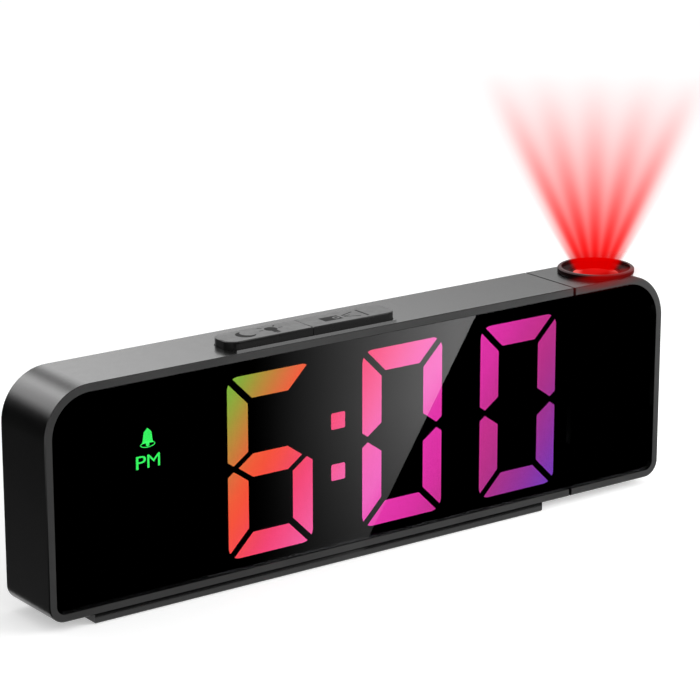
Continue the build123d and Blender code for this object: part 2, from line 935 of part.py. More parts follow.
def rear_button(x, z):
    """Button through the rear cover, with a retaining lip and a stem over its switch."""
    face = Pos(x, z) * RectangleRounded(*button_size, button_corner)
    cap = upright(face, cover_inner, back_y + button_proud)
    cap = chamfer(cap.faces().sort_by(Axis.Y)[-1].edges(), edge_break)
    lip = offset(face, button_lip)
    cap += upright(lip, cover_inner - button_lip_thickness, cover_inner)
    stem_end = tact_plunger_top + button_travel + press_gap
    return cap + upright(disc(x, z, button_stem_radius), stem_end, cover_inner)


def rear_switches():
    """Tact switches under the rear buttons."""
    switches = []
    for x, z in button_places:
        body = upright(bar(x, z, tact_size, tact_size), board_back, tact_top)
        switches.append(body + upright(disc(x, z, plunger_radius), tact_top, tact_plunger_top))
    return joined(switches)


def power_socket():
    """Round power inlet with its centre pin, facing the back."""
    x, z = on_board(power_place)
    body = upright(bar(x, z, *power_body), board_back, cover_inner)
    body -= upright(disc(x, z, power_bore_radius), cover_inner - power_bore_depth, cover_inner)
    pin = upright(disc(x, z, power_pin_radius), cover_inner - power_bore_depth, cover_inner - 1.0)
    return body + pin


def usb_socket():
    """Charging outlet: a metal shell with its contact tongue."""
    x, z = on_board(usb_place)
    body = upright(bar(x, z, *usb_body), board_back, cover_inner)
    body -= upright(bar(x, z, *usb_mouth), cover_inner - usb_mouth_depth, cover_inner)
    tongue = bar(x, z + usb_tongue_offset, *usb_tongue)
    return body + upright(tongue, cover_inner - usb_mouth_depth, cover_inner - 1.0)


def buzzer():
    """Round alarm buzzer with its sound port."""
    x, z = on_board(buzzer_place)
    body = upright(disc(x, z, buzzer_radius), board_back, board_back + buzzer_height)
    return body - upright(disc(x, z, buzzer_port_radius), board_back + 1.0, board_back + buzzer_height)


def control_chip():
    """Clock chip with a row of legs along each of two sides."""
    x, z = on_board(chip_place)
    width, height, thickness = chip_size
    chip = upright(bar(x, z, width, height), board_back + 0.2, board_back + thickness)
    for place in range(6):
        offset_x = (place - 2.5) * width / 6.5
        leg = bar(x + offset_x, z, 0.5, height + 2.4)
        chip += upright(leg, board_back, board_back + 0.4)
    return chip


def case_lead_socket():
    """Socket on the main board that the projector lead plugs into, in line with the pivot."""
    x = from_seam(lead_socket_seam_inset)
    width, height, depth = lead_socket
    body = upright(bar(x, mid_z, width, height), board_back, board_back + depth)
    return body - crosswise(disc(0, mid_z, lead_radius), x, x + width / 2)


# ---------------------------------------------------------------- pivot
def pivot_bush():
    """Flanged bush in the end wall; its flange is the thrust face in the seam."""
    outer = pivot_radius + bush_wall
    inner = pivot_radius + pivot_running_clearance
    sleeve = crosswise(disc(0, mid_z, outer), pivot_inner, main_right)
    flange = crosswise(disc(0, mid_z, bush_flange_radius), main_right, head_left - bush_flange_gap)
    return sleeve + flange - crosswise(disc(0, mid_z, inner), pivot_inner, head_left)


def pivot_tube():
    """Hollow axle: a flange screwed inside the head, and a tube through the bush with a ring groove."""
    tube = crosswise(disc(0, mid_z, pivot_radius), pivot_end_x, head_cavity_left)
    tube += crosswise(disc(0, mid_z, pivot_flange_radius), head_cavity_left, pivot_flange_x)
    groove = disc(0, mid_z, pivot_radius) - disc(0, mid_z, pivot_radius - groove_depth)
    tube -= crosswise(groove, pivot_ring_x, pivot_ring_x + ring_thickness)
    tube -= crosswise(disc(0, mid_z, pivot_bore_radius), pivot_end_x, pivot_flange_x)
    for y, z in pivot_screw_places():
        tube -= crosswise(disc(y, z, shank_hole_radius), head_cavity_left, pivot_flange_x)
    return tube


def spring_washer():
    """Thin washer between the end wall and the retaining ring, which gives the head its friction."""
    plan = disc(0, mid_z, washer_radius) - disc(0, mid_z, pivot_radius + pivot_running_clearance)
    return crosswise(plan, pivot_inner - washer_thickness, pivot_inner)


def retaining_ring():
    """Open ring in the tube's groove."""
    plan = disc(0, mid_z, ring_radius) - disc(0, mid_z, pivot_radius - groove_depth)
    plan -= bar(0, mid_z - ring_radius, 2.4, 2 * ring_radius)
    return crosswise(plan, pivot_ring_x, pivot_ring_x + ring_thickness)


def pivot_screws():
    """Screws that hold the pivot tube's flange to the head's inner wall."""
    length = pivot_flange_x - head_left - pivot_pilot_floor - screw_tip_gap
    ready = Rot(0, 90, 0) * screw(length)
    return joined([Pos(pivot_flange_x, y, z) * ready for y, z in pivot_screw_places()])


# ---------------------------------------------------------------- leads
def case_lead():
    """Lead from the main board's socket along the pivot axis to the seam."""
    return crosswise(disc(0, mid_z, lead_radius), from_seam(lead_socket_seam_inset), seam_middle)


head_socket_top = mid_z - lead_bend - lead_straight
projector_board_top = head_socket_top - head_socket[2]
projector_board_bottom = projector_board_top - projector_board_thickness
projector_board_left = pivot_flange_x + projector_board_flange_gap
head_socket_x = projector_board_left + head_socket_inset + head_socket[0] / 2


def head_lead():
    """Lead from the seam along the pivot axis, then down into the projector board's socket."""
    path = FilletPolyline(
        (seam_middle, 0, mid_z),
        (head_socket_x, 0, mid_z),
        (head_socket_x, 0, head_socket_top),
        radius=lead_bend,
    )
    start = Plane(origin=(seam_middle, 0, mid_z), z_dir=(1, 0, 0))
    return sweep(start * Circle(lead_radius), path)


def head_lead_socket():
    """Socket on the projector board for the lead."""
    width, depth, _ = head_socket
    x = head_socket_x
    return block(x - width / 2, x + width / 2, -depth / 2, depth / 2, projector_board_top, head_socket_top)


# ---------------------------------------------------------------- focus ring, barrel and lenses
ring_bottom = top_z + ring_lift
ring_top = top_z + ring_height
barrel_radius = ring_bore_radius - barrel_clearance
barrel_top = top_z - barrel_top_drop
barrel_bottom = barrel_top - barrel_length
lens_radius = barrel_radius - barrel_wall


def focus_ring():
    """Knob ring round the lens: thin rim, inner shelf, and a skirt with a clip groove."""
    shelf_radius = ring_rim_radius - ring_wall_draft
    groove_top = clip_top
    groove_bottom = clip_top - clip_thickness
    groove_radius = ring_skirt_radius - clip_groove
    edge = ring_edge_round
    return turned(
        [
            (ring_bore_radius, skirt_bottom),
            (ring_skirt_radius, skirt_bottom),
            (ring_skirt_radius, groove_bottom),
            (groove_radius, groove_bottom),
            (groove_radius, groove_top),
            (ring_skirt_radius, groove_top),
            (ring_skirt_radius, ring_bottom),
            (ring_outer_radius, ring_bottom),
            (ring_outer_radius, ring_top - edge),
            (ring_outer_radius - edge, ring_top),
            (ring_rim_radius, ring_top),
            (shelf_radius, ring_top - ring_shelf_depth),
            (shelf_radius - ring_shelf_width, ring_top - ring_shelf_depth),
            (ring_bore_radius, top_z + ring_bore_rise),
        ],
        lens_x, 0,
    )


def ring_clip():
    """Open clip under the roof that keeps the focus ring in."""
    plan = disc(lens_x, 0, clip_radius) - disc(lens_x, 0, ring_skirt_radius - clip_groove)
    plan -= bar(lens_x + clip_radius, 0, 2 * clip_radius, 2.4)
    return level(plan, clip_top - clip_thickness, clip_top)


def barrel_key_plan(clearance):
    """Two opposite keys that stop the barrel from turning."""
    reach, width, _ = barrel_key
    return bar(lens_x, 0, 2 * (barrel_radius + reach + clearance), width + 2 * clearance)


def lens_barrel():
    """Sliding tube that carries the objective lens, keyed into the lamp house."""
    seat = barrel_top - objective_drop - objective_edge
    barrel = level(disc(lens_x, 0, barrel_radius), barrel_bottom, barrel_top)
    keys = barrel_key_plan(0) & disc(lens_x, 0, barrel_radius + barrel_key[0])
    barrel += level(keys, barrel_bottom, barrel_bottom + barrel_key[2])
    barrel -= level(disc(lens_x, 0, lens_radius), seat, barrel_top)
    return barrel - level(disc(lens_x, 0, lens_radius - barrel_ledge), barrel_bottom, seat)


def dome(radius, z, height):
    """Cap of a sphere, height tall, standing on a disc of the given radius at z."""
    sphere_radius = (radius**2 + height**2) / (2 * height)
    ball = Pos(lens_x, 0, z + height - sphere_radius) * Sphere(sphere_radius)
    return ball & level(disc(lens_x, 0, radius), z, z + height)


def objective_lens():
    """Plano-convex lens in the barrel, bulging upwards."""
    edge_top = barrel_top - objective_drop
    edge = level(disc(lens_x, 0, lens_radius), edge_top - objective_edge, edge_top)
    return edge + dome(lens_radius, edge_top, objective_bulge)


lamp_bottom = projector_board_top
condenser_seat = lamp_bottom + condenser_height
slide_seat = lamp_bottom + slide_height
lamp_guide_bottom = slide_seat + slide_size[2] + slide_headroom


def lamp_house():
    """Projector body: guide bore with key slots, slide seat, condenser seat, ears and a square base."""
    house = level(disc(lens_x, 0, lamp_radius), lamp_bottom, lamp_top)
    house += level(Pos(lens_x, 0) * Rectangle(*lamp_base), lamp_bottom, lamp_bottom + lamp_base_thickness)
    arm = Rot(0, 0, -lamp_ear_angle) * Rectangle(2 * lamp_ear_reach, 2 * lamp_ear_radius)
    ears = Pos(lens_x, 0) * arm
    for x, y in lamp_ears:
        ears += disc(x, y, lamp_ear_radius)
    house += level(ears, lamp_ear_top - lamp_ear_thickness, lamp_ear_top)
    for x, y in lamp_ears:
        house -= level(disc(x, y, shank_hole_radius), lamp_ear_top - lamp_ear_thickness, lamp_ear_top)
    house -= level(disc(lens_x, 0, barrel_radius + barrel_clearance), lamp_guide_bottom, lamp_top)
    slot_reach = disc(lens_x, 0, barrel_radius + barrel_key[0] + barrel_clearance)
    slots = barrel_key_plan(barrel_key_clearance) & slot_reach
    house -= level(slots, lamp_guide_bottom, lamp_top)
    house -= level(disc(lens_x, 0, slide_ledge_radius), condenser_seat, lamp_guide_bottom)
    slide_pocket = bar(lens_x, 0, slide_size[0] + 2 * slide_clearance, slide_size[1] + 2 * slide_clearance)
    house -= level(slide_pocket, slide_seat, lamp_guide_bottom)
    house -= level(disc(lens_x, 0, lamp_bore_radius), lamp_bottom, condenser_seat)
    ribbon_slot = block(
        lens_x + slide_size[0] / 2 - ribbon_overlap, lens_x + 2 * lamp_radius,
        -ribbon_width / 2 - ribbon_clearance, ribbon_width / 2 + ribbon_clearance,
        slide_seat + slide_size[2], slide_seat + slide_size[2] + ribbon_slot_height,
    )
    house -= ribbon_slot
    for x, y in projector_screw_places:
        house -= level(disc(x, y, pilot_radius), lamp_bottom, lamp_bottom + lamp_base_thickness)
    ribbon_way = block(
        lens_x + lamp_radius - ribbon_clearance, lens_x + lamp_base[0] / 2,
        -ribbon_width / 2 - ribbon_clearance, ribbon_width / 2 + ribbon_clearance,
        lamp_bottom, lamp_bottom + lamp_base_thickness,
    )
    socket_way = block(
        lens_x - lamp_base[0], head_socket_x + head_socket[0] / 2 + head_socket_clearance,
        -head_socket[1] / 2 - head_socket_clearance, head_socket[1] / 2 + head_socket_clearance,
        lamp_bottom, head_socket_top + head_socket_clearance,
    )
    return house - ribbon_way - socket_way


projector_screw_places = [
    (
        lens_x + side_x * (lamp_base[0] / 2 - board_screw_inset[0]),
        side_y * (lamp_base[1] / 2 - board_screw_inset[1]),
    )
    for side_x in (-1, 1)
    for side_y in (-1, 1)
]


def lamp_house_screws():
    """Screws up through the lamp house's ears into the head."""
    head_z = lamp_ear_top - lamp_ear_thickness
    length = lamp_ear_thickness + lamp_screw_length - screw_tip_gap
    return joined([screw_from_below(x, y, head_z, length) for x, y in lamp_ears])


def projector_board():
    """Circuit board under the lamp house."""
    board = block(
        projector_board_left, lens_x + lamp_base[0] / 2 + projector_board_margin,
        -lamp_base[1] / 2, lamp_base[1] / 2,
        projector_board_bottom, projector_board_top,
    )
    for x, y in projector_screw_places:
        board -= level(disc(x, y, shank_hole_radius), projector_board_bottom, projector_board_top)
    return board


def projector_board_screws():
    """Screws up through the projector board into the lamp house's base."""
    length = projector_board_thickness + lamp_base_thickness - screw_tip_gap
    return joined([screw_from_below(x, y, projector_board_bottom, length) for x, y in projector_screw_places])


def red_led():
    """Red light-emitting diode with its dome."""
    width, height = lamp_led_base
    base = level(bar(lens_x, 0, width, width), projector_board_top, projector_board_top + height)
    return base + dome(lamp_led_dome, projector_board_top + height, lamp_led_dome * 0.95)


def condenser_lens():
    """Plano-convex lens that spreads the LED's light over the slide."""
    edge = level(disc(lens_x, 0, condenser_radius), condenser_seat - condenser_edge, condenser_seat)
    bulge = mirror(dome(condenser_radius, 0, condenser_bulge), Plane.XY)
    return edge + Pos(0, 0, condenser_seat - condenser_edge) * bulge


def time_slide():
    """Small liquid-crystal slide that shapes the projected time."""
    return level(bar(lens_x, 0, slide_size[0], slide_size[1]), slide_seat, slide_seat + slide_size[2])


def slide_ribbon():
    """Flat ribbon from the slide, out through the lamp house's wall and down to the projector board."""
    high = slide_seat + slide_size[2]
    start_x = lens_x + slide_size[0] / 2 - ribbon_overlap
    out_x = lens_x + lamp_radius + ribbon_clearance
    along = block(
        start_x, out_x + ribbon_thickness, -ribbon_width / 2, ribbon_width / 2, high, high + ribbon_thickness
    )
    down = block(
        out_x, out_x + ribbon_thickness, -ribbon_width / 2, ribbon_width / 2, projector_board_top, high
    )
    return along + down


# ---------------------------------------------------------------- every node
def nodes():
    """Each node's name and its shape."""
    shapes = display_shapes()
    yield "main_housing", main_housing()
    yield "front_window", front_window()
    yield "light_box", light_box(shapes)
    for name, group in shapes.items():
        yield name, segment_lenses(group)
    yield "segment_leds", segment_leds(shapes)
    yield "main_board", main_board()
    yield "rear_cover", rear_cover()
    yield "rear_cover_screws", cover_screws(main_cover_screws)
    yield "foot_plate", foot_plate()
    yield "foot_screws", foot_screws()
    yield "rubber_sole", rubber_sole()
    yield "snooze_key", key(key_left, key_split, True)
    yield "projector_key", key(key_split, key_right, False)
    yield "key_switches", key_switches()
    for place, (x, z) in enumerate(button_places):
        yield f"rear_button_{place + 1}", rear_button(x, z)
    yield "rear_switches", rear_switches()
    yield "battery_door", battery_door()
    yield "coin_cell", coin_cell()
    yield "battery_contact", battery_contact()
    yield "power_socket", power_socket()
    yield "usb_socket", usb_socket()
    yield "buzzer", buzzer()
    yield "control_chip", control_chip()
    yield "case_lead_socket", case_lead_socket()
    yield "case_lead", case_lead()
    yield "pivot_bush", pivot_bush()
    yield "spring_washer", spring_washer()
    yield "retaining_ring", retaining_ring()
    yield "pivot_tube", pivot_tube()
    yield "pivot_screws", pivot_screws()
    yield "head_housing", head_housing()
    yield "head_window", head_window()
    yield "head_cover", head_cover()
    yield "head_cover_screws", cover_screws(head_cover_screws)
    yield "lamp_house", lamp_house()
    yield "lamp_house_screws", lamp_house_screws()
    yield "projector_board", projector_board()
    yield "projector_board_screws", projector_board_screws()
    yield "head_lead_socket", head_lead_socket()
    yield "head_lead", head_lead()
    yield "red_led", red_led()
    yield "condenser_lens", condenser_lens()
    yield "time_slide", time_slide()
    yield "slide_ribbon", slide_ribbon()
    yield "lens_barrel", lens_barrel()
    yield "objective_lens", objective_lens()
    yield "focus_ring", focus_ring()
    yield "ring_clip", ring_clip()


os.makedirs("parts", exist_ok=True)
for node_name, shape in nodes():
    export_step(shape, f"parts/{node_name}.step")
    print(f"{node_name}: {len(shape.solids())} solid(s), {shape.volume:.0f} mm3")
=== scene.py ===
"""Dresses a projection alarm clock for show: finishes, lit display, lens glow and a pale studio."""

import logging
import math
from dataclasses import dataclass, field
from enum import Enum
from functools import partialmethod
from typing import Callable, Iterable, Sequence

import bpy
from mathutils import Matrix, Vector


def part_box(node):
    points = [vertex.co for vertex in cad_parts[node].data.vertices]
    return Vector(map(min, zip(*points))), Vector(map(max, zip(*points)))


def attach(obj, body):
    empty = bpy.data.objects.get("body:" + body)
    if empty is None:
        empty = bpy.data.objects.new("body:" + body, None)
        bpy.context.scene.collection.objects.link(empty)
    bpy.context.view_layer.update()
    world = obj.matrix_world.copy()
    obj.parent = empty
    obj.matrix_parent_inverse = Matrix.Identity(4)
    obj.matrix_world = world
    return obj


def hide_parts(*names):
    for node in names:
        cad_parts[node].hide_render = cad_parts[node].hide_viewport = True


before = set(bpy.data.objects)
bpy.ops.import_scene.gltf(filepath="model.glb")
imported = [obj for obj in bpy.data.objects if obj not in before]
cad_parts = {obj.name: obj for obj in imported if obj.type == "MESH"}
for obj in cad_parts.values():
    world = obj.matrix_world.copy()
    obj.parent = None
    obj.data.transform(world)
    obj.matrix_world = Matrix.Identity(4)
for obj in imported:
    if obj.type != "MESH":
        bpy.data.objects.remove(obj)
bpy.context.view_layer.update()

log = logging.getLogger("alarm_clock")
MM = 0.001
Pair = tuple[float, float]
Point = tuple[float, float, float]
Colour = tuple[float, float, float]
Object = bpy.types.Object
Socket = bpy.types.NodeSocket
Value = Socket | float
EdgeTest = Callable[[Vector, Vector], bool]
FaceTest = Callable[[Vector, Vector, Vector, Vector], bool]
Corners = tuple[Point, Point]

ORIGIN: Point = (0, 0, 0)
# Turns about X, Y and Z that lay a flat shape down, or stand it up to face the front.
FLAT: Point = (0, 0, 0)
UPRIGHT: Point = (math.pi / 2, 0, 0)
# Places that are nearer than this, in metres, count as one.
NEAR = 0.00001
# How much of a direction lies along an axis that it is said to run along.
STRAIGHT = 0.95
# How much more a large face counts than a small one where shading is smoothed.
FACE_WEIGHT = 60
# The X and Y of the projection lens, and the way that its time slide faces, in degrees.
LENS_AXIS: Pair = (84.3 * MM, 0.0)
SLIDE_FACING = 41.37


def srgb(*values: float) -> Colour:
    """A colour written as screen values from 0 to 255, as linear light."""
    shares = (value / 255 for value in values)
    return tuple(v / 12.92 if v <= 0.04045 else ((v + 0.055) / 1.055) ** 2.4 for v in shares)


def grey(level: float) -> Colour:
    """A plain grey."""
    return (level, level, level)


def shade(colour: Colour, share: float) -> Colour:
    """A colour made darker or lighter by a share."""
    return tuple(c * share for c in colour)


class Body(Enum):
    """The bodies that the pieces of this file ride on."""

    CASE = "clock_case"
    HEAD = "projector_head"


# Finishes


class NodeBoard:
    """A tree of nodes, with short calls to add and wire them."""

    def __init__(self, tree: bpy.types.NodeTree) -> None:
        """Takes the tree to work on."""
        self.tree = tree

    def feed(self, target: Socket, value: object) -> None:
        """Gives an input its value.

        Args:
            target: the input.
            value: a socket to follow, a number, or a colour of three shares.
        """
        if isinstance(value, Socket):
            self.tree.links.new(value, target)
        elif isinstance(value, tuple):
            target.default_value = (*value, 1.0)
        else:
            target.default_value = value

    def add(self, kind: str, inputs: dict | None = None, **settings: object) -> bpy.types.Node:
        """Adds one node.

        Args:
            kind: the node's type name.
            inputs: values by input name or number.
            settings: the node's own settings.

        Returns:
            The new node.
        """
        node = self.tree.nodes.new(kind)
        for key, value in settings.items():
            setattr(node, key, value)
        for key, value in (inputs or {}).items():
            self.feed(node.inputs[key], value)
        return node

    def place(self) -> Socket:
        """The socket that gives each point's place on the piece."""
        return self.add("ShaderNodeTexCoord").outputs["Object"]

    def axes(self) -> list[Socket]:
        """The sockets that give each point's X, Y and Z on the piece."""
        return list(self.add("ShaderNodeSeparateXYZ", {0: self.place()}).outputs)

    def maths(self, operation: str, *values: Value, clamp: bool = False) -> Socket:
        """The socket of a sum of numbers or sockets, which a clamp keeps from 0 to 1."""
        node = self.add("ShaderNodeMath", dict(enumerate(values)), operation=operation, use_clamp=clamp)
        return node.outputs[0]

    plus = partialmethod(maths, "ADD")
    minus = partialmethod(maths, "SUBTRACT")
    times = partialmethod(maths, "MULTIPLY")
    over = partialmethod(maths, "DIVIDE")
    times_plus = partialmethod(maths, "MULTIPLY_ADD")
    larger = partialmethod(maths, "MAXIMUM")
    power = partialmethod(maths, "POWER")
    size = partialmethod(maths, "ABSOLUTE")

    def decay(self, depth: Socket) -> Socket:
        """The share of light that gets through haze of a given depth."""
        return self.maths("EXPONENT", self.times(depth, -1.0))

    def noise(self, scale: float, detail: float = 2.0, rough: float = 0.5) -> Socket:
        """A cloudy pattern from 0 to 1, by its features to a metre, finer layers and their strength."""
        inputs = {"Vector": self.place(), "Scale": scale, "Detail": detail, "Roughness": rough}
        return self.add("ShaderNodeTexNoise", inputs).outputs["Fac"]

    def spread(self, value: Socket, low: float, high: float, start: float = 0.3, end: float = 0.7,
               curve: str = "LINEAR") -> Socket:
        """A value that runs from low to high while another one runs from start to end."""
        inputs = {"Value": value, "From Min": start, "From Max": end, "To Min": low, "To Max": high}
        return self.add("ShaderNodeMapRange", inputs, interpolation_type=curve).outputs[0]

    def mix(self, share: Value, first: object, second: object) -> Socket:
        """The socket of a colour mixed from two, with a share of the second one."""
        inputs = {0: share, 6: first, 7: second}
        return self.add("ShaderNodeMix", inputs, data_type="RGBA").outputs[2]

    def ramp(self, share: Socket, stops: Iterable[tuple[float, Colour]]) -> Socket:
        """Adds a run of colours.

        Args:
            share: how far along the run a point lies, from 0 to 1.
            stops: places on the run, and the colour at each.

        Returns:
            The socket of the colour.
        """
        node = self.add("ShaderNodeValToRGB", {0: share})
        marks = node.color_ramp.elements
        for number, (spot, colour) in enumerate(stops):
            mark = marks[number] if number < len(marks) else marks.new(spot)
            mark.position = spot
            mark.color = (*colour, 1.0)
        return node.outputs[0]

    def glow(self, colour: Colour, strength: Value) -> Socket:
        """The shader socket of plain light of a colour and a strength."""
        return self.add("ShaderNodeEmission", {"Color": colour, "Strength": strength}).outputs[0]

    def seen(self) -> Socket:
        """Tells the rays that look, mirror or pass through from those that light.

        Returns:
            A socket that is 1 for the first kind and 0 for the rest.
        """
        path = self.add("ShaderNodeLightPath").outputs
        total = path["Is Camera Ray"]
        for name in ("Is Glossy Ray", "Is Transmission Ray"):
            total = self.plus(total, path[name], clamp=True)
        return total


class ShaderBoard(NodeBoard):
    """The nodes of one material."""

    def __init__(self, name: str) -> None:
        """Starts a material with a principled shader.

        Args:
            name: the material's name.
        """
        self.material = bpy.data.materials.new(name)
        self.material.use_nodes = True
        super().__init__(self.material.node_tree)
        self.tree.nodes.clear()
        self.surface = self.add("ShaderNodeOutputMaterial").inputs["Surface"]
        self.shader = self.add("ShaderNodeBsdfPrincipled")
        self.feed(self.surface, self.shader.outputs[0])

    def set(self, **values: object) -> None:
        """Sets inputs of the principled shader.

        Args:
            values: input names in snake case, and their values.
        """
        for key, value in values.items():
            self.feed(self.shader.inputs[key.replace("_", " ").title().replace("Ior", "IOR")], value)

    def fed(self, name: str) -> Socket:
        """The socket that an input of the principled shader follows so far."""
        return self.shader.inputs[name].links[0].from_socket

    def bump(self, height: Socket, depth: float) -> None:
        """Raises the surface by a pattern whose full step is a depth in metres."""
        self.set(normal=self.add("ShaderNodeBump", {"Height": height, "Distance": depth}).outputs[0])

    def show(self, obj: Object, shader: Socket) -> None:
        """Puts another shader in the principled one's place, and gives the material to an object.

        Args:
            obj: the object.
            shader: the other shader's socket.
        """
        self.tree.nodes.remove(self.shader)
        self.feed(self.surface, shader)
        obj.data.materials.append(self.material)


@dataclass(frozen=True)
class Finish:
    """What a surface is made of."""

    name: str

    def material(self) -> bpy.types.Material:
        """Gives the finish's material, which is made once.

        Returns:
            The material.
        """
        known = bpy.data.materials.get(self.name)
        if known:
            return known
        board = ShaderBoard(self.name)
        self.mix_up(board)
        return board.material

    def mix_up(self, board: ShaderBoard) -> None:
        """Mixes the finish on its board."""
        raise NotImplementedError


@dataclass(frozen=True)
class MouldedPlastic(Finish):
    """Plastic from a spark-eroded mould: fine grain, soft sheen and faint clouding."""

    colour: Colour
    roughness: float
    uneven: float = 0.05
    grain_scale: float = 3200.0
    grain_depth: float = 0.000012
    cloud_scale: float = 60.0
    clouding: float = 0.12
    sheen_scale: float = 420.0
    specular: float = 0.5

    def mix_up(self, board: ShaderBoard) -> None:
        """Mixes the finish.

        Args:
            board: its board.
        """
        cloud = board.spread(board.noise(self.cloud_scale, 3), 0, 1)
        dark, light = (shade(self.colour, 1 + step) for step in (-self.clouding, self.clouding))
        smooth, rough = self.roughness - self.uneven, self.roughness + self.uneven
        board.set(base_color=board.mix(cloud, dark, light), specular_ior_level=self.specular,
                  roughness=board.spread(board.noise(self.sheen_scale, 4, 0.6), smooth, rough))
        board.bump(board.noise(self.grain_scale, 2, 0.6), self.grain_depth)


class Outline(Enum):
    """The plain shapes that a printed sign is put together from."""

    DISC = "disc"
    BAR = "bar"


DISC, BAR = Outline


@dataclass(frozen=True)
class Mark:
    """One shape of a printed sign, in millimetres on the piece's top."""

    outline: Outline
    centre: Pair
    half: Pair
    turn: float = 0.0
    cut: bool = False
    blur: float = 0.03

    def inside(self, board: ShaderBoard, x: Socket, y: Socket) -> Socket:
        """How far a spot is inside this shape, as a share.

        Args:
            board: the material that it is printed on.
            x, y: the spot's place.

        Returns:
            A socket that is 1 inside and 0 outside.
        """
        u, v = (board.minus(axis, spot * MM) for axis, spot in zip((x, y), self.centre))
        if self.outline is DISC:
            away = board.maths("SQRT", board.plus(board.times(u, u), board.times(v, v)))
            depth = board.minus(self.half[0] * MM, away)
        else:
            c, s = math.cos(math.radians(self.turn)), math.sin(math.radians(self.turn))
            along = board.size(board.times_plus(u, c, board.times(v, s)))
            across = board.size(board.times_plus(v, c, board.times(u, -s)))
            depth = board.maths("MINIMUM", board.minus(self.half[0] * MM, along),
                                board.minus(self.half[1] * MM, across))
        return board.spread(depth, 0, 1, -self.blur * MM, self.blur * MM)


@dataclass(frozen=True)
class PrintedPlastic(MouldedPlastic):
    """Moulded plastic with a sign pressed into its top and inked matt."""

    marks: tuple[Mark, ...] = ()
    ink: Colour = grey(0.003)
    ink_roughness: float = 0.95
    press: float = 0.06 * MM

    def mix_up(self, board: ShaderBoard) -> None:
        """Mixes the finish.

        Args:
            board: its board.
        """
        super().mix_up(board)
        x, y, _ = board.axes()
        ink: Value = 0.0
        for mark in self.marks:
            inside = mark.inside(board, x, y)
            ink = board.times(ink, board.minus(1.0, inside)) if mark.cut else board.larger(ink, inside)
        rough = board.fed("Roughness")
        matt = board.times_plus(board.minus(self.ink_roughness, rough), ink, rough)
        inputs = {"Height": ink, "Distance": self.press, "Normal": board.fed("Normal")}
        pressed = board.add("ShaderNodeBump", inputs, invert=True).outputs[0]
        inked = board.mix(ink, board.fed("Base Color"), self.ink)
        board.set(base_color=inked, roughness=matt, normal=pressed)


@dataclass(frozen=True)
class SmokedPane(Finish):
    """A tinted acrylic sheet, polished, with faint wipe marks."""

    tint: Colour
    marks: Pair = (0.9, 1.1)
    marks_scale: float = 90.0
    marks_tint: float = 0.9
    ior: float = 1.49

    def mix_up(self, board: ShaderBoard) -> None:
        """Mixes the finish on its board."""
        marks = board.spread(board.noise(self.marks_scale, 5, 0.7), *self.marks)
        board.set(base_color=board.mix(marks, shade(self.tint, self.marks_tint), self.tint),
                  roughness=0.0, transmission_weight=1.0, ior=self.ior)


@dataclass(frozen=True)
class ClearGlass(Finish):
    """A clear lens with a faint coating."""

    tint: Colour
    roughness: float = 0.02
    coating_scale: float = 120.0
    coating_tint: float = 0.94
    ior: float = 1.49

    def mix_up(self, board: ShaderBoard) -> None:
        """Mixes the finish on its board."""
        tint = board.mix(board.noise(self.coating_scale), shade(self.tint, self.coating_tint), self.tint)
        board.set(base_color=tint, roughness=self.roughness, transmission_weight=1.0, ior=self.ior)


@dataclass(frozen=True)
class LitLens(Finish):
    """A milky lens lit from behind, whose colour runs slanting across the display."""

    stops: tuple[tuple[float, Colour], ...]
    start: Pair
    end: Pair
    strength: float
    milk: tuple[Colour, Colour] = (grey(0.30), grey(0.36))
    milk_scale: float = 500.0

    def mix_up(self, board: ShaderBoard) -> None:
        """Mixes the finish.

        Args:
            board: its board.
        """
        x, _, z = board.axes()
        start = Vector(self.start)
        run = Vector(self.end) - start
        along = run / run.length_squared
        share = board.times_plus(x, along.x, -start.dot(along))
        share = board.times_plus(z, along.y, share, clamp=True)
        board.set(emission_color=board.ramp(share, self.stops), emission_strength=self.strength,
                  base_color=board.mix(board.noise(self.milk_scale, 3), *self.milk), roughness=0.45)


@dataclass(frozen=True)
class Metal(Finish):
    """Bare metal with a fine drawn or plated grain."""

    colour: Colour
    roughness: float
    cloud_scale: float = 300.0
    clouding: float = 0.15
    grain_scale: float = 900.0
    grain_share: float = 0.3
    grain_depth: float = 0.000004

    def mix_up(self, board: ShaderBoard) -> None:
        """Mixes the finish.

        Args:
            board: its board.
        """
        cloud = board.noise(self.cloud_scale, 3)
        smooth, rough = (self.roughness * (1 + step) for step in (-self.grain_share, self.grain_share))
        board.set(base_color=board.mix(cloud, shade(self.colour, 1 - self.clouding), self.colour),
                  roughness=board.spread(board.noise(self.grain_scale, 3), smooth, rough), metallic=1.0)
        board.bump(board.noise(self.grain_scale * 2, 2), self.grain_depth)


@dataclass(frozen=True)
class GlowingLens(Finish):
    """A lens that glows with red light, with a painted pink highlight in two crescents at its edge."""

    inner: float
    outer: float
    middle: Colour
    # The colour of the painted highlight crescents at the lens's edge.
    rim: Colour
    crescent_noise_scale: float = 260.0
    crescent_noise_low: float = 0.2

    def mix_up(self, board: ShaderBoard) -> None:
        """Mixes the finish.

        Args:
            board: its board.
        """
        x, y, _ = board.axes()
        u, v = (board.minus(axis, spot) for axis, spot in zip((x, y), LENS_AXIS))
        turn = math.radians(SLIDE_FACING)
        along = board.size(board.times_plus(u, math.cos(turn), board.times(v, -math.sin(turn))))
        share = board.spread(along, 0, 1, self.inner, self.outer, "SMOOTHSTEP")
        uneven = board.times(share, board.spread(board.noise(self.crescent_noise_scale, 2), self.crescent_noise_low, 1.0))
        board.set(emission_color=board.mix(uneven, self.middle, self.rim), emission_strength=1.0,
                  base_color=(0.01, 0.0, 0.0), roughness=0.12, specular_ior_level=0.0)


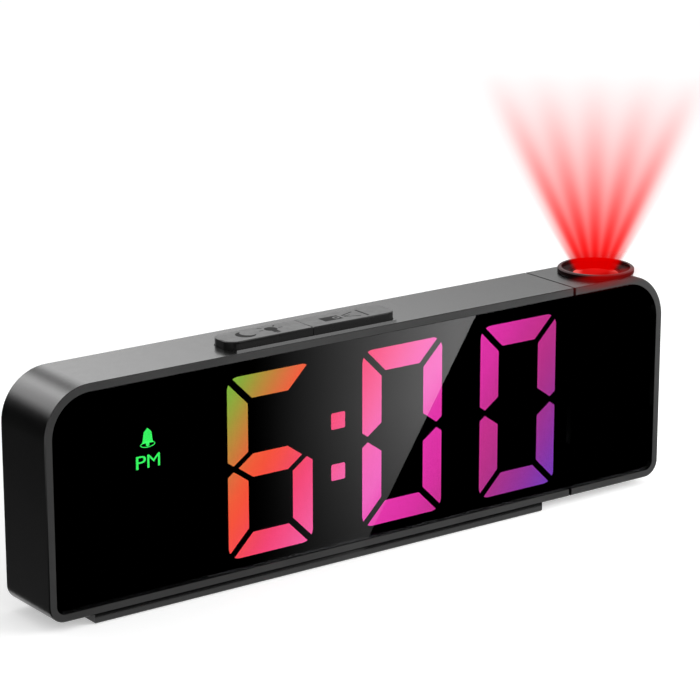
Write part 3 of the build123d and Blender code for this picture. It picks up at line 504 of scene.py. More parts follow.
@dataclass(frozen=True)
class CircuitLacquer(Finish):
    """Green board lacquer over copper tracks."""

    lacquer: Colour
    track: Colour
    track_scale: float = 380.0
    track_width: float = 0.06
    track_height: float = 0.02 * MM

    def mix_up(self, board: ShaderBoard) -> None:
        """Mixes the finish.

        Args:
            board: its board.
        """
        lines = board.add("ShaderNodeTexBrick", {
            "Vector": board.place(), "Scale": self.track_scale, "Mortar Size": self.track_width,
            "Color1": self.lacquer, "Color2": self.lacquer, "Mortar": self.track}).outputs
        cloud = board.spread(board.noise(160, 2), 0, 1, 0.45, 0.55)
        board.set(base_color=board.mix(cloud, self.lacquer, lines["Color"]), coat_weight=0.3,
                  roughness=board.spread(board.noise(700), 0.25, 0.4))
        board.bump(lines["Fac"], self.track_height)


@dataclass(frozen=True)
class Glow(Finish):
    """A surface that gives light of its own, slightly uneven."""

    colour: Colour
    strength: float
    clouding: float = 0.08

    def mix_up(self, board: ShaderBoard) -> None:
        """Mixes the finish on its board."""
        dim = shade(self.colour, 1 - self.clouding)
        board.set(emission_color=board.mix(board.noise(900, 2), dim, self.colour),
                  emission_strength=self.strength, base_color=grey(0.3), roughness=0.4)


CASE_BLACK = MouldedPlastic("case plastic", grey(0.004), 0.24, uneven=0.012)
# The front rim round the window is the case plastic made lighter: painted light where the front lamps fall.
RIM_PAINTED_LIT = MouldedPlastic("front rim plastic painted lit", grey(0.035), 0.5, uneven=0.02, specular=0.3)
# The key tops are a lighter copy of the key plastic than the sides, which keep the case's black: painted
# light on the tops.
KEY_TOP_PAINTED_LIT = grey(0.016)
KEY_GRAIN = 4200
SNOOZE_PRINT = PrintedPlastic("snooze key plastic", KEY_TOP_PAINTED_LIT, 0.38, grain_scale=KEY_GRAIN, marks=(
    Mark(DISC, (-36.2, -3.2), (2.7, 0)),
    Mark(DISC, (-34.9, -2.4), (2.25, 0), cut=True),
    Mark(DISC, (-28.0, -2.6), (1.75, 0)),
    Mark(BAR, (-28.0, -5.0), (0.85, 0.75)),
    Mark(BAR, (-28.0, -6.2), (0.6, 0.25)),
    Mark(BAR, (-31.0, -2.6), (0.65, 0.2)),
    Mark(BAR, (-25.0, -2.6), (0.65, 0.2)),
    Mark(BAR, (-30.2, -0.5), (0.65, 0.2), 135),
    Mark(BAR, (-25.8, -0.5), (0.65, 0.2), 45),
))
PROJECTOR_PRINT = PrintedPlastic("projector key plastic", KEY_TOP_PAINTED_LIT, 0.38, grain_scale=KEY_GRAIN, marks=(
    Mark(BAR, (-9.6, -3.4), (2.9, 1.7)),
    Mark(DISC, (-8.0, -3.4), (1.0, 0), cut=True),
    Mark(DISC, (-8.0, -3.4), (0.45, 0)),
    Mark(BAR, (-3.6, -2.0), (2.3, 0.22), 20),
    Mark(BAR, (-3.6, -4.8), (2.3, 0.22), -20),
    Mark(BAR, (-4.6, -3.4), (1.1, 0.22)),
    Mark(BAR, (0.4, -3.4), (0.3, 3.0)),
))
KEY_SIDE = MouldedPlastic("key side plastic", grey(0.004), 0.30, grain_scale=KEY_GRAIN, specular=0.22)
# The ring and barrel are black plastic tinted red: painted red light from the lens.
RING_PAINTED_RED = MouldedPlastic("ring plastic painted red", (0.010, 0.003, 0.003), 0.5, uneven=0.02, grain_scale=5200,
                            grain_depth=0.000004, specular=0.015)
# The ring's top rim and rounded edge are lighter and redder than the ring: a painted highlight and painted
# red light.
RING_EDGE_PAINTED_HIGHLIGHT = MouldedPlastic("ring edge painted highlight", (0.052, 0.021, 0.022), 0.4, uneven=0.02, specular=0.12)
# The unlit bars are the milky lenses painted near black: painted shade behind the smoked window.
LENS_OFF_PAINTED_DARK = MouldedPlastic("unlit bar lens painted dark", grey(0.008), 0.6, grain_depth=0.000004, specular=0.1)
PANE_BLACK = SmokedPane("smoked window", (0.045, 0.045, 0.048))
# The lens glows red, and its two pink crescents are painted highlights.
LENS_GLOWING = GlowingLens("glowing lens", 3.2 * MM, 5.4 * MM, srgb(212, 24, 22), srgb(255, 112, 106))
SIGN_GREEN = Glow("green sign light", srgb(60, 255, 100), 22.0)
DISPLAY_LIT = LitLens(
    "lit bar lens",
    (
        (0.000, srgb(128, 186, 60)), (0.029, srgb(138, 178, 62)), (0.057, srgb(160, 163, 60)),
        (0.086, srgb(186, 145, 60)), (0.114, srgb(208, 128, 60)), (0.143, srgb(230, 110, 62)),
        (0.171, srgb(249, 95, 58)), (0.200, srgb(254, 86, 60)), (0.229, srgb(254, 82, 72)),
        (0.257, srgb(250, 78, 88)), (0.286, srgb(250, 73, 102)), (0.314, srgb(252, 72, 118)),
        (0.350, srgb(252, 80, 134)), (0.386, srgb(252, 90, 150)), (0.429, srgb(250, 98, 170)),
        (0.471, srgb(248, 96, 182)), (0.514, srgb(246, 96, 188)), (0.543, srgb(242, 80, 182)),
        (0.571, srgb(236, 58, 171)), (0.614, srgb(230, 54, 166)), (0.657, srgb(224, 52, 161)),
        (0.700, srgb(210, 52, 150)), (0.743, srgb(202, 52, 140)), (0.800, srgb(188, 52, 136)),
        (0.843, srgb(176, 53, 139)), (0.886, srgb(162, 54, 147)), (0.929, srgb(148, 55, 158)),
        (0.971, srgb(133, 58, 172)), (1.000, srgb(122, 62, 180)),
    ),
    start=(-46.0 * MM, 56.25 * MM), end=(47.96 * MM, -9.52 * MM), strength=22.0,
)
SLOT_FINISHES: dict[str, Finish] = {
    "case_black": CASE_BLACK,
    "window_black": PANE_BLACK,
    "lens_milky": DISPLAY_LIT,
    "lens_green": MouldedPlastic("sign mask film", grey(0.0012), 0.9, specular=0.05),
    "lens_clear": ClearGlass("clear lens", grey(0.9)),
    "frame_black": MouldedPlastic("matt inner plastic", grey(0.0012), 0.9, specular=0.05),
    "circuit_green": CircuitLacquer("board lacquer", (0.01, 0.10, 0.035), (0.05, 0.22, 0.08)),
    "led_white": MouldedPlastic("lamp chip phosphor", (0.75, 0.74, 0.62), 0.35),
    "led_red": Glow("red lamp die", (1.0, 0.03, 0.02), 8.0),
    "chip_black": MouldedPlastic("chip resin", (0.02, 0.02, 0.021), 0.5),
    "sole_rubber": MouldedPlastic("sole rubber", grey(0.018), 0.8, grain_scale=1800,
                                  grain_depth=0.00004, specular=0.3),
    "screw_steel": Metal("blackened screw steel", (0.12, 0.12, 0.125), 0.35),
    "spring_steel": Metal("bright spring steel", (0.56, 0.56, 0.55), 0.25),
    "cell_steel": Metal("plated cell can", (0.66, 0.66, 0.65), 0.22),
    "socket_black": MouldedPlastic("socket plastic", grey(0.015), 0.35),
    "socket_steel": Metal("plated socket shell", grey(0.6), 0.25),
    "bush_white": MouldedPlastic("bush nylon", (0.72, 0.71, 0.67), 0.45),
    "lead_black": MouldedPlastic("lead insulation", grey(0.02), 0.4),
    "ribbon_amber": MouldedPlastic("ribbon film", (0.45, 0.17, 0.02), 0.3),
    "slide_dark": MouldedPlastic("time slide glass", (0.03, 0.03, 0.035), 0.15),
}


# Modelling by hand


class Bench:
    """Short calls that shape one mesh at a time."""

    @staticmethod
    def clear() -> None:
        """Deselects everything."""
        bpy.ops.object.select_all(action="DESELECT")

    @staticmethod
    def pick(*objects: Object) -> None:
        """Selects only these objects, and makes the first one active.

        Args:
            objects: the objects.
        """
        Bench.clear()
        for obj in objects:
            obj.select_set(True)
        bpy.context.view_layer.objects.active = objects[0]

    @staticmethod
    def settle(name: str) -> Object:
        """Names the active object and puts its place, turn and size in its mesh.

        Args:
            name: the object's new name.

        Returns:
            The object, at the origin.
        """
        obj = bpy.context.object
        obj.name = obj.data.name = name
        bpy.ops.object.transform_apply(location=True, rotation=True, scale=True)
        return obj

    @staticmethod
    def plane(name: str, centre: Sequence[float], size: Pair, turn: Point = FLAT) -> Object:
        """Adds a flat rectangle.

        Args:
            name: the new object's name.
            centre: its middle.
            size: its two sides.
            turn: its turns about X, Y and Z.

        Returns:
            The rectangle.
        """
        Bench.clear()
        bpy.ops.mesh.primitive_plane_add(size=1, location=centre)
        bpy.context.object.scale = (*size, 1)
        bpy.context.object.rotation_euler = turn
        return Bench.settle(name)

    @staticmethod
    def disc(name: str, centre: Point, wide: float, tall: float, corners: int) -> Object:
        """Adds a flat round shape that faces the front.

        Args:
            name: the new object's name.
            centre: its middle.
            wide, tall: half its width and half its height.
            corners: how many corners its edge has.

        Returns:
            The shape.
        """
        Bench.clear()
        bpy.ops.mesh.primitive_circle_add(vertices=corners, radius=1, fill_type="NGON",
                                          location=centre, rotation=UPRIGHT)
        bpy.context.object.scale = (wide, tall, 1)
        return Bench.settle(name)

    @staticmethod
    def edit(obj: Object, test: EdgeTest) -> None:
        """Enters edit mode with the edges that pass a test selected.

        Args:
            obj: the object to shape.
            test: is given an edge's middle and direction.
        """
        Bench.pick(obj)
        mesh = obj.data
        for group in (mesh.vertices, mesh.edges, mesh.polygons):
            group.foreach_set("select", [False] * len(group))
        for edge in mesh.edges:
            a, b = (mesh.vertices[i].co for i in edge.vertices)
            edge.select = test((a + b) / 2, (b - a).normalized())
        bpy.ops.object.mode_set(mode="EDIT")
        bpy.context.tool_settings.mesh_select_mode = (False, True, False)

    @staticmethod
    def done() -> None:
        """Leaves edit mode."""
        bpy.ops.object.mode_set(mode="OBJECT")

    @staticmethod
    def bevel(obj: Object, width: float, segments: int, test: EdgeTest) -> None:
        """Rounds the edges that pass a test.

        Args:
            obj: the object to shape.
            width: the radius, in metres.
            segments: how many faces make the curve.
            test: is given an edge's middle and direction.
        """
        Bench.edit(obj, test)
        bpy.ops.mesh.bevel(offset=width, offset_type="OFFSET", segments=segments, profile=0.5,
                           affect="EDGES", clamp_overlap=True)
        Bench.done()

    @staticmethod
    def fit(obj: Object, kind: str, **settings: object) -> bpy.types.Modifier:
        """Adds a modifier.

        Args:
            obj: the object to shape.
            kind: the modifier's type.
            settings: the modifier's own settings.

        Returns:
            The modifier.
        """
        modifier = obj.modifiers.new(kind.lower(), kind)
        for key, value in settings.items():
            setattr(modifier, key, value)
        return modifier

    @staticmethod
    def modify(obj: Object, kind: str, **settings: object) -> None:
        """Adds a modifier of a kind and with settings, and applies it."""
        Bench.pick(obj)
        bpy.ops.object.modifier_apply(modifier=Bench.fit(obj, kind, **settings).name)


def dress(obj: Object, *finishes: Finish) -> None:
    """Gives an object its finishes, of which its faces take the first.

    Args:
        obj: the object.
        finishes: its finishes.
    """
    obj.data.materials.clear()
    for finish in finishes:
        obj.data.materials.append(finish.material())


def finish_piece(obj: Object, body: Body, slot: str, finish: Finish, *nodes: str) -> None:
    """Dresses a new piece and ties it to the frame.

    Args:
        obj: the piece.
        body: the body that it rides on.
        slot: the record's slot for its finish; not used.
        finish: what it is made of.
        nodes: the nodes that it stands for.
    """
    dress(obj, finish)
    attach(obj, body.value)
    if nodes:
        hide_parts(*nodes)
    log.info("%s: %d faces on %s", obj.name, len(obj.data.polygons), body.value)


# Sub-assemblies


@dataclass
class Windows:
    """The two smoked panes that make one dark front across the case and the head."""

    thickness: float = 1.55 * MM
    top_radius: float = 10.87 * MM
    bottom_radius: float = 2.37 * MM
    edge: float = 0.12 * MM
    top_facets: int = 28
    bottom_facets: int = 12
    edge_facets: int = 3
    crisp_angle: float = 32.0

    def build(self) -> None:
        """Builds both panes."""
        self.pane("window_pane_case", -1, Body.CASE, "front_window")
        self.pane("window_pane_head", 1, Body.HEAD, "head_window")

    def pane(self, name: str, side: int, body: Body, node: str) -> None:
        """Builds one pane with two rounded corners on its outer end.

        Args:
            name: the piece's name.
            side: -1 where the outer end is the left one, and 1 where it is the right one.
            body: the body that it rides on.
            node: the node that it stands for.
        """
        low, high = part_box(node)
        front = low.y
        outer, seam = (low.x, high.x) if side < 0 else (high.x, low.x)
        inner = Vector((high.x, front + self.thickness, high.z))
        Bench.clear()
        bpy.ops.mesh.primitive_cube_add(size=1, location=(low + inner) / 2, scale=inner - low)
        obj = Bench.settle(name)
        for height, radius, facets in ((high.z, self.top_radius, self.top_facets),
                                       (low.z, self.bottom_radius, self.bottom_facets)):
            Bench.bevel(obj, radius, facets, lambda m, d, h=height: (
                abs(d.y) > STRAIGHT and abs(m.x - outer) < NEAR and abs(m.z - h) < NEAR))
        Bench.bevel(obj, self.edge, self.edge_facets, lambda m, d: (
            abs(m.y - front) < NEAR and abs(m.x - seam) > NEAR))
        bpy.ops.object.shade_smooth_by_angle(angle=math.radians(self.crisp_angle))
        Bench.modify(obj, "WEIGHTED_NORMAL", keep_sharp=True, weight=FACE_WEIGHT)
        finish_piece(obj, body, "window_black", PANE_BLACK, node)


@dataclass
class Display:
    """The lit bars, the colon and the two green signs behind the window."""

    bar: float = 6.3 * MM
    lit_bars: dict[str, str] = field(default_factory=lambda: {
        "hour_tens_segments": "",
        "hour_segments": "acdefg",
        "minute_tens_segments": "abcdef",
        "minute_segments": "abcdef",
    })
    sign_front: float = -8.94 * MM
    sign_depth: float = 0.12 * MM
    sign_shift: float = -0.25 * MM
    bell_drop: float = 1.1 * MM
    word_rise: float = 2.85 * MM
    # How far each row of the bell lies below its top, and half the row's width, in millimetres.
    bell_rows: tuple[Pair, ...] = (
        (0.0, 0.20), (0.30, 0.36), (0.50, 0.66), (0.85, 1.00),
        (1.35, 1.20), (2.45, 1.32), (3.35, 1.50), (3.85, 1.66))
    rim_half: Pair = (2.20 * MM, 0.80 * MM)
    rim_thickness: float = 0.2 * MM
    rim_drop: float = 0.35 * MM
    rim_corners: int = 40
    clapper: float = 0.52 * MM
    clapper_corners: int = 20
    letters: tuple[tuple[str, float], ...] = (("P", 2.9 * MM), ("M", 3.7 * MM))
    letter_gap: float = 0.4 * MM
    letter_height: float = 3.4 * MM
    letter_slack: float = 0.01
    letter_facets: int = 6

    def build(self) -> None:
        """Lights the bars that show six o'clock, and adds the signs."""
        for node, lit in self.lit_bars.items():
            self.light_bars(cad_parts[node], lit)
        low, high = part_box("indicator_lenses")
        middle = (low.x + high.x) / 2 + self.sign_shift
        self.bell(middle, high.z - self.bell_drop)
        self.word(middle, low.z + self.word_rise)

    def middles(self, obj: Object) -> dict[str, Vector]:
        """The middles of a digit's seven bars.

        Args:
            obj: the digit.

        Returns:
            The X and Z of each middle, by the bar's usual letter.
        """
        low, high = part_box(obj.name)
        inset = self.bar / 2
        left, right, foot, top = low.x + inset, high.x - inset, low.z + inset, high.z - inset
        across, level = (left + right) / 2, (foot + top) / 2
        upper, lower = (level + top) / 2, (foot + level) / 2
        spots = {"a": (across, top), "b": (right, upper), "c": (right, lower), "d": (across, foot),
                 "e": (left, lower), "f": (left, upper), "g": (across, level)}
        return {letter: Vector(spot) for letter, spot in spots.items()}

    @staticmethod
    def bars(mesh: bpy.types.Mesh) -> list[list[bpy.types.MeshPolygon]]:
        """Sorts a digit's faces by the separate bar that they belong to.

        Args:
            mesh: the digit's mesh, whose triangles are loose.

        Returns:
            A list of faces for each bar.
        """
        groups: list[tuple[set, list]] = []
        for face in mesh.polygons:
            corners = {tuple(round(c * 1e6) for c in mesh.vertices[i].co) for i in face.vertices}
            spots, faces, apart = set(corners), [face], []
            for group in groups:
                if group[0] & corners:
                    spots |= group[0]
                    faces += group[1]
                else:
                    apart.append(group)
            groups = [*apart, (spots, faces)]
        return [faces for _, faces in groups]

    def light_bars(self, obj: Object, lit: str) -> None:
        """Gives each bar the lit or the unlit finish.

        Args:
            obj: the digit.
            lit: the letters of the bars that are lit.
        """
        dress(obj, DISPLAY_LIT, LENS_OFF_PAINTED_DARK)
        middles = self.middles(obj)
        for faces in self.bars(obj.data):
            area = sum(face.area for face in faces)
            centre = sum((face.center * face.area for face in faces), Vector()) / area
            nearest = min(middles, key=lambda letter: (centre.xz - middles[letter]).length)
            for face in faces:
                face.material_index = int(nearest not in lit)
        log.info("%s: bars %s lit", obj.name, lit or "none")

    def flat_sign(self, name: str, *objects: Object) -> None:
        """Joins flat shapes that face the front, and gives them their thickness.

        Args:
            name: the piece's name.
            objects: the flat shapes.
        """
        Bench.pick(*objects)
        bpy.ops.object.join()
        obj = Bench.settle(name)
        Bench.modify(obj, "SOLIDIFY", thickness=self.sign_depth, offset=-1)
        finish_piece(obj, Body.CASE, "lens_green", SIGN_GREEN)

    def bell(self, middle: float, top: float) -> None:
        """Builds the bell sign: a flared body drawn down row by row, a rim and a clapper.

        Args:
            middle: the sign's middle across the display.
            top: the height of the bell's top.
        """
        rows = [(down * MM, half * MM) for down, half in self.bell_rows]
        (_, width), (step, _) = rows[:2]
        level = top - step
        body = Bench.plane("bell_body", (middle, self.sign_front, top - step / 2), (2 * width, step), UPRIGHT)
        for (before, _), (down, half) in zip(rows, rows[1:]):
            Bench.edit(body, lambda m, d: abs(m.z - level) < NEAR and abs(d.x) > STRAIGHT)
            if before:
                bpy.ops.mesh.extrude_region_move(TRANSFORM_OT_translate={"value": (0, 0, before - down)})
                level += before - down
            bpy.ops.transform.resize(value=(half / width, 1, 1),
                                     center_override=(middle, self.sign_front, level))
            width = half
            Bench.done()
        centre = (middle, self.sign_front, level - self.rim_drop)
        rim = Bench.disc("bell_rim", centre, *self.rim_half, self.rim_corners)
        Bench.pick(rim)
        bpy.ops.object.mode_set(mode="EDIT")
        bpy.context.tool_settings.mesh_select_mode = (False, False, True)
        bpy.ops.mesh.select_all(action="SELECT")
        bpy.ops.mesh.inset(thickness=self.rim_thickness)
        bpy.ops.mesh.delete(type="FACE")
        Bench.done()
        clapper = Bench.disc("bell_clapper", centre, self.clapper, self.clapper, self.clapper_corners)
        self.flat_sign("bell_sign", body, rim, clapper)

    def word(self, middle: float, centre: float) -> None:
        """Builds the afternoon sign from plain letters.

        Args:
            middle: the sign's middle across the display.
            centre: the height of its middle.
        """
        whole = sum(wide for _, wide in self.letters) + self.letter_gap * (len(self.letters) - 1)
        left = middle - whole / 2
        made = []
        for sign, wide in self.letters:
            made.append(self.letter(sign, left, wide, centre - self.letter_height / 2))
            left += wide + self.letter_gap
        self.flat_sign("afternoon_sign", *made)

    def letter(self, sign: str, left: float, wide: float, foot: float) -> Object:
        """Builds one flat letter, and stands its legs upright where they splay.

        Args:
            sign: the letter.
            left: its left edge.
            wide: how wide it gets.
            foot: its lower edge.

        Returns:
            The flat letter.
        """
        Bench.clear()
        bpy.ops.object.text_add()
        text = bpy.context.object.data
        text.body = sign
        text.resolution_u = self.letter_facets
        bpy.ops.object.convert(target="MESH")
        bpy.context.object.rotation_euler = UPRIGHT
        obj = Bench.settle(f"letter_{sign.lower()}")
        low, high = self.corners(obj)
        spans = []
        for level in (low.z, high.z):
            row = [v.co.x for v in obj.data.vertices if abs(v.co.z - level) < self.letter_slack]
            spans.append(max(row) - min(row))
        if spans[0] > spans[1]:
            Bench.edit(obj, lambda m, d: abs(m.z - low.z) < self.letter_slack)
            bpy.ops.transform.resize(value=(spans[1] / spans[0], 1, 1),
                                     center_override=((low.x + high.x) / 2, 0, low.z))
            Bench.done()
            low, high = self.corners(obj)
        size = high - low
        obj.scale = (wide / size.x, 1, self.letter_height / size.z)
        obj.location = (left - low.x * obj.scale.x, self.sign_front, foot - low.z * obj.scale.z)
        Bench.pick(obj)
        return Bench.settle(obj.name)

    @staticmethod
    def corners(obj: Object) -> tuple[Vector, Vector]:
        """The lower and upper corners of an object's mesh."""
        low, high = (Vector(map(pick, zip(*(v.co for v in obj.data.vertices)))) for pick in (min, max))
        return low, high


@dataclass
class SolidParts:
    """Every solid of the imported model."""

    key_top: float = 0.12 * MM
    front_depth: float = 0.02 * MM
    ring_rim: float = 1.05 * MM
    ring_rim_depth: float = 0.31 * MM
    crisp_angle: float = 36.0

    def dress_all(self) -> None:
        """Gives each solid its slot's finish and smooth curves, and some a second finish."""
        for name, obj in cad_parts.items():
            slot = obj.data.materials[0].name.split(".")[0] if obj.data.materials else "case_black"
            dress(obj, SLOT_FINISHES[slot])
            self.refine(obj)
            log.info("%s: %s", name, slot)
        # The key tops take the key plastic painted lighter.
        self.two_tone("snooze_key", SNOOZE_PRINT, KEY_SIDE, self.on_key_side)
        self.two_tone("projector_key", PROJECTOR_PRINT, KEY_SIDE, self.on_key_side)
        # The barrel takes the ring plastic painted red.
        dress(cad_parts["lens_barrel"], RING_PAINTED_RED)
        dress(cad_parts["objective_lens"], LENS_GLOWING)
        # The housings' front rims take the case plastic painted lighter.
        self.two_tone("main_housing", CASE_BLACK, RIM_PAINTED_LIT, self.on_front)
        self.two_tone("head_housing", CASE_BLACK, RIM_PAINTED_LIT, self.on_front)
        # The ring's rim and rounded edge take the painted highlight.
        self.two_tone("focus_ring", RING_PAINTED_RED, RING_EDGE_PAINTED_HIGHLIGHT, self.on_ring_rim)

    def refine(self, obj: Object) -> None:
        """Lets a solid's curved faces shade as curves while its edges stay crisp.

        Args:
            obj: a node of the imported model.
        """
        obj.data.polygons.foreach_set("use_smooth", [True] * len(obj.data.polygons))
        Bench.fit(obj, "WELD", merge_threshold=0.000001)
        Bench.fit(obj, "EDGE_SPLIT", split_angle=math.radians(self.crisp_angle), use_edge_sharp=False)
        Bench.fit(obj, "WEIGHTED_NORMAL", mode="FACE_AREA", weight=FACE_WEIGHT)

    def on_key_side(self, centre: Vector, normal: Vector, low: Vector, high: Vector) -> bool:
        """Whether a face of a key lies below its top."""
        return centre.z < high.z - self.key_top

    def on_front(self, centre: Vector, normal: Vector, low: Vector, high: Vector) -> bool:
        """Whether a face of a housing lies on the narrow rim round the window, which is painted lighter."""
        return normal.y < -STRAIGHT and centre.y < low.y + self.front_depth

    def on_ring_rim(self, centre: Vector, normal: Vector, low: Vector, high: Vector) -> bool:
        """Whether a face of the ring lies on its top rim or the rounded edge round it, where a highlight is
        painted.
        """
        away = math.dist(centre.xy, (low.xy + high.xy) / 2)
        return away > (high.x - low.x) / 2 - self.ring_rim and centre.z > high.z - self.ring_rim_depth

    def two_tone(self, name: str, main: Finish, other: Finish, test: FaceTest) -> None:
        """Gives some faces of a solid a second finish.

        Args:
            name: the solid's node.
            main: the finish of most of it.
            other: the finish of the faces that pass the test.
            test: is given a face's centre and normal, and the solid's lower and upper corners.
        """
        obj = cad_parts[name]
        dress(obj, main, other)
        low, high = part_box(name)
        for face in obj.data.polygons:
            face.material_index = int(test(face.center, face.normal, low, high))


@dataclass
class ProjectorBeam:
    """The fan of red light above the lens, and a painted red glow on the focus ring.

    The fan is two upright sheets of streaked haze that cross on the lens axis. The painted red glow by the
    ring is one small upright patch of see-through red light, standing in for the lens's light on the ring and
    roof.
    """

    lens_drop: float = 0.6 * MM
    apex_drop: float = 6.7 * MM
    height: float = 57.5 * MM
    lean: float = 0.026
    flare: float = 1.05
    thickness: float = 1.62
    blur_height: float = 6.43 * MM
    streak_gap: float = 0.228
    streak_low: float = 0.67
    # By how much the clear middle and the soft edge widen with height, and what each has at the apex.
    inner: Pair = (0.4175, -1.28 * MM)
    edge: Pair = (0.19, 3.93 * MM)
    foot_strength: float = 0.70
    foot_fade: Pair = (2.5 * MM, 6 * MM)
    # The sheet of painted red glow in front of the ring: its size, place, reach each way, hardness, cover and
    # brightness.
    glow_patch_size: Pair = (44 * MM, 14 * MM)
    glow_place: Point = (-7.7 * MM, -1.8 * MM, -0.2 * MM)
    glow_widths: Pair = (8.5 * MM, 10.0 * MM)
    glow_heights: Pair = (2.5 * MM, 2.1 * MM)
    glow_hardness: float = 6.0
    glow_cover: Pair = (0.40, 0.86)
    glow_strength: Pair = (0.24, 0.46)

    def build(self) -> None:
        """Builds both sheets and the haze."""
        low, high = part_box("objective_lens")
        axis = ((low.x + high.x) / 2, (low.y + high.y) / 2, high.z - self.lens_drop)
        for number, turn in enumerate((0, 90)):
            self.sheet(f"light_sheet_{number}", axis, math.radians(turn - SLIDE_FACING))
        self.haze()

    def sheet(self, name: str, axis: Point, turn: float) -> None:
        """Builds one sheet, narrow at the lens and wide at its top.

        Args:
            name: the sheet's name.
            axis: where the lens axis meets the lens.
            turn: the way the sheet runs, from the X axis.
        """
        foot, top = axis[2], axis[2] + self.height
        apex = foot - self.apex_drop
        along = Vector((math.cos(turn), math.sin(turn)))
        obj = Bench.plane(name, (*axis[:2], (foot + top) / 2),
                          (2 * self.flare * self.apex_drop, self.height), (UPRIGHT[0], 0, turn))
        Bench.edit(obj, lambda m, d: m.z > top - NEAR)
        ratio = (self.apex_drop + self.height) / self.apex_drop
        bpy.ops.transform.resize(value=(ratio, ratio, 1), center_override=(*axis[:2], top))
        Bench.done()
        board = ShaderBoard(name)
        x, y, z = board.axes()
        start = -along.dot(axis[:2])
        across = board.times_plus(x, along.x, board.times_plus(y, along.y, start))
        rise = board.minus(z, apex)
        across = board.times_plus(rise, self.lean, across)
        wave = board.maths("COSINE", board.times(board.over(across, rise), 2 * math.pi / self.streak_gap))
        streak = board.spread(wave, self.streak_low, 1.0, -1.0, 1.0)
        inside = board.times_plus(rise, *self.inner)
        width = board.times_plus(rise, *self.edge)
        beyond = board.over(board.minus(board.size(across), inside), width)
        side = board.spread(beyond, 1.0, 0.0, 0.0, 1.0, "SMOOTHERSTEP")
        whole = self.apex_drop + self.height + self.blur_height
        fade = board.minus(board.over(whole, board.plus(rise, self.blur_height)), 1.0)
        depth = board.times(board.times(streak, board.times(side, fade)), self.thickness)
        share = board.minus(1.0, board.decay(depth), clamp=True)
        foot_end, full = (foot + step for step in self.foot_fade)
        self.lay(obj, board, share, board.spread(z, self.foot_strength, 1.0, foot_end, full))

    def haze(self) -> None:
        """Builds a small upright patch of see-through red light in front of the focus ring: a painted red
        glow on the ring and roof.
        """
        low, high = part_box("focus_ring")
        centre = Vector(((low.x + high.x) / 2, low.y, high.z)) + Vector(self.glow_place)
        obj = Bench.plane("painted_red_glow", centre, self.glow_patch_size, UPRIGHT)
        board = ShaderBoard("painted_red_glow")
        x, _, z = board.axes()
        across = self.reach(board, board.minus(x, centre.x), self.glow_widths)
        upright = self.reach(board, board.minus(z, centre.z), self.glow_heights)
        both = board.times_plus(across, across, board.power(upright, self.glow_hardness))
        foot, top = centre.z - self.glow_heights[0], centre.z + self.glow_heights[1]
        share = board.times(board.decay(both), board.spread(z, *self.glow_cover, foot, top))
        self.lay(obj, board, share, board.spread(z, *self.glow_strength, foot, top))

    @staticmethod
    def reach(board: ShaderBoard, away: Socket, sizes: Pair) -> Socket:
        """How far out a point lies, as a share of the reach on its side of the middle."""
        before, after = sizes
        return board.larger(board.over(away, after), board.over(away, -before))

    def lay(self, obj: Object, board: ShaderBoard, share: Socket, strength: Socket) -> None:
        """Lays see-through red light on a sheet.

        Args:
            obj: the sheet.
            board: its material.
            share: how much of what is behind it is covered.
            strength: how bright the light is.
        """
        clear = board.add("ShaderNodeBsdfTransparent").outputs[0]
        red = board.glow((1.0, 0.0, 0.0), strength)
        board.show(obj, board.add("ShaderNodeMixShader", {0: share, 1: clear, 2: red}).outputs[0])
        obj.visible_diffuse = obj.visible_glossy = obj.visible_shadow = obj.visible_transmission = False
        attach(obj, Body.HEAD.value)


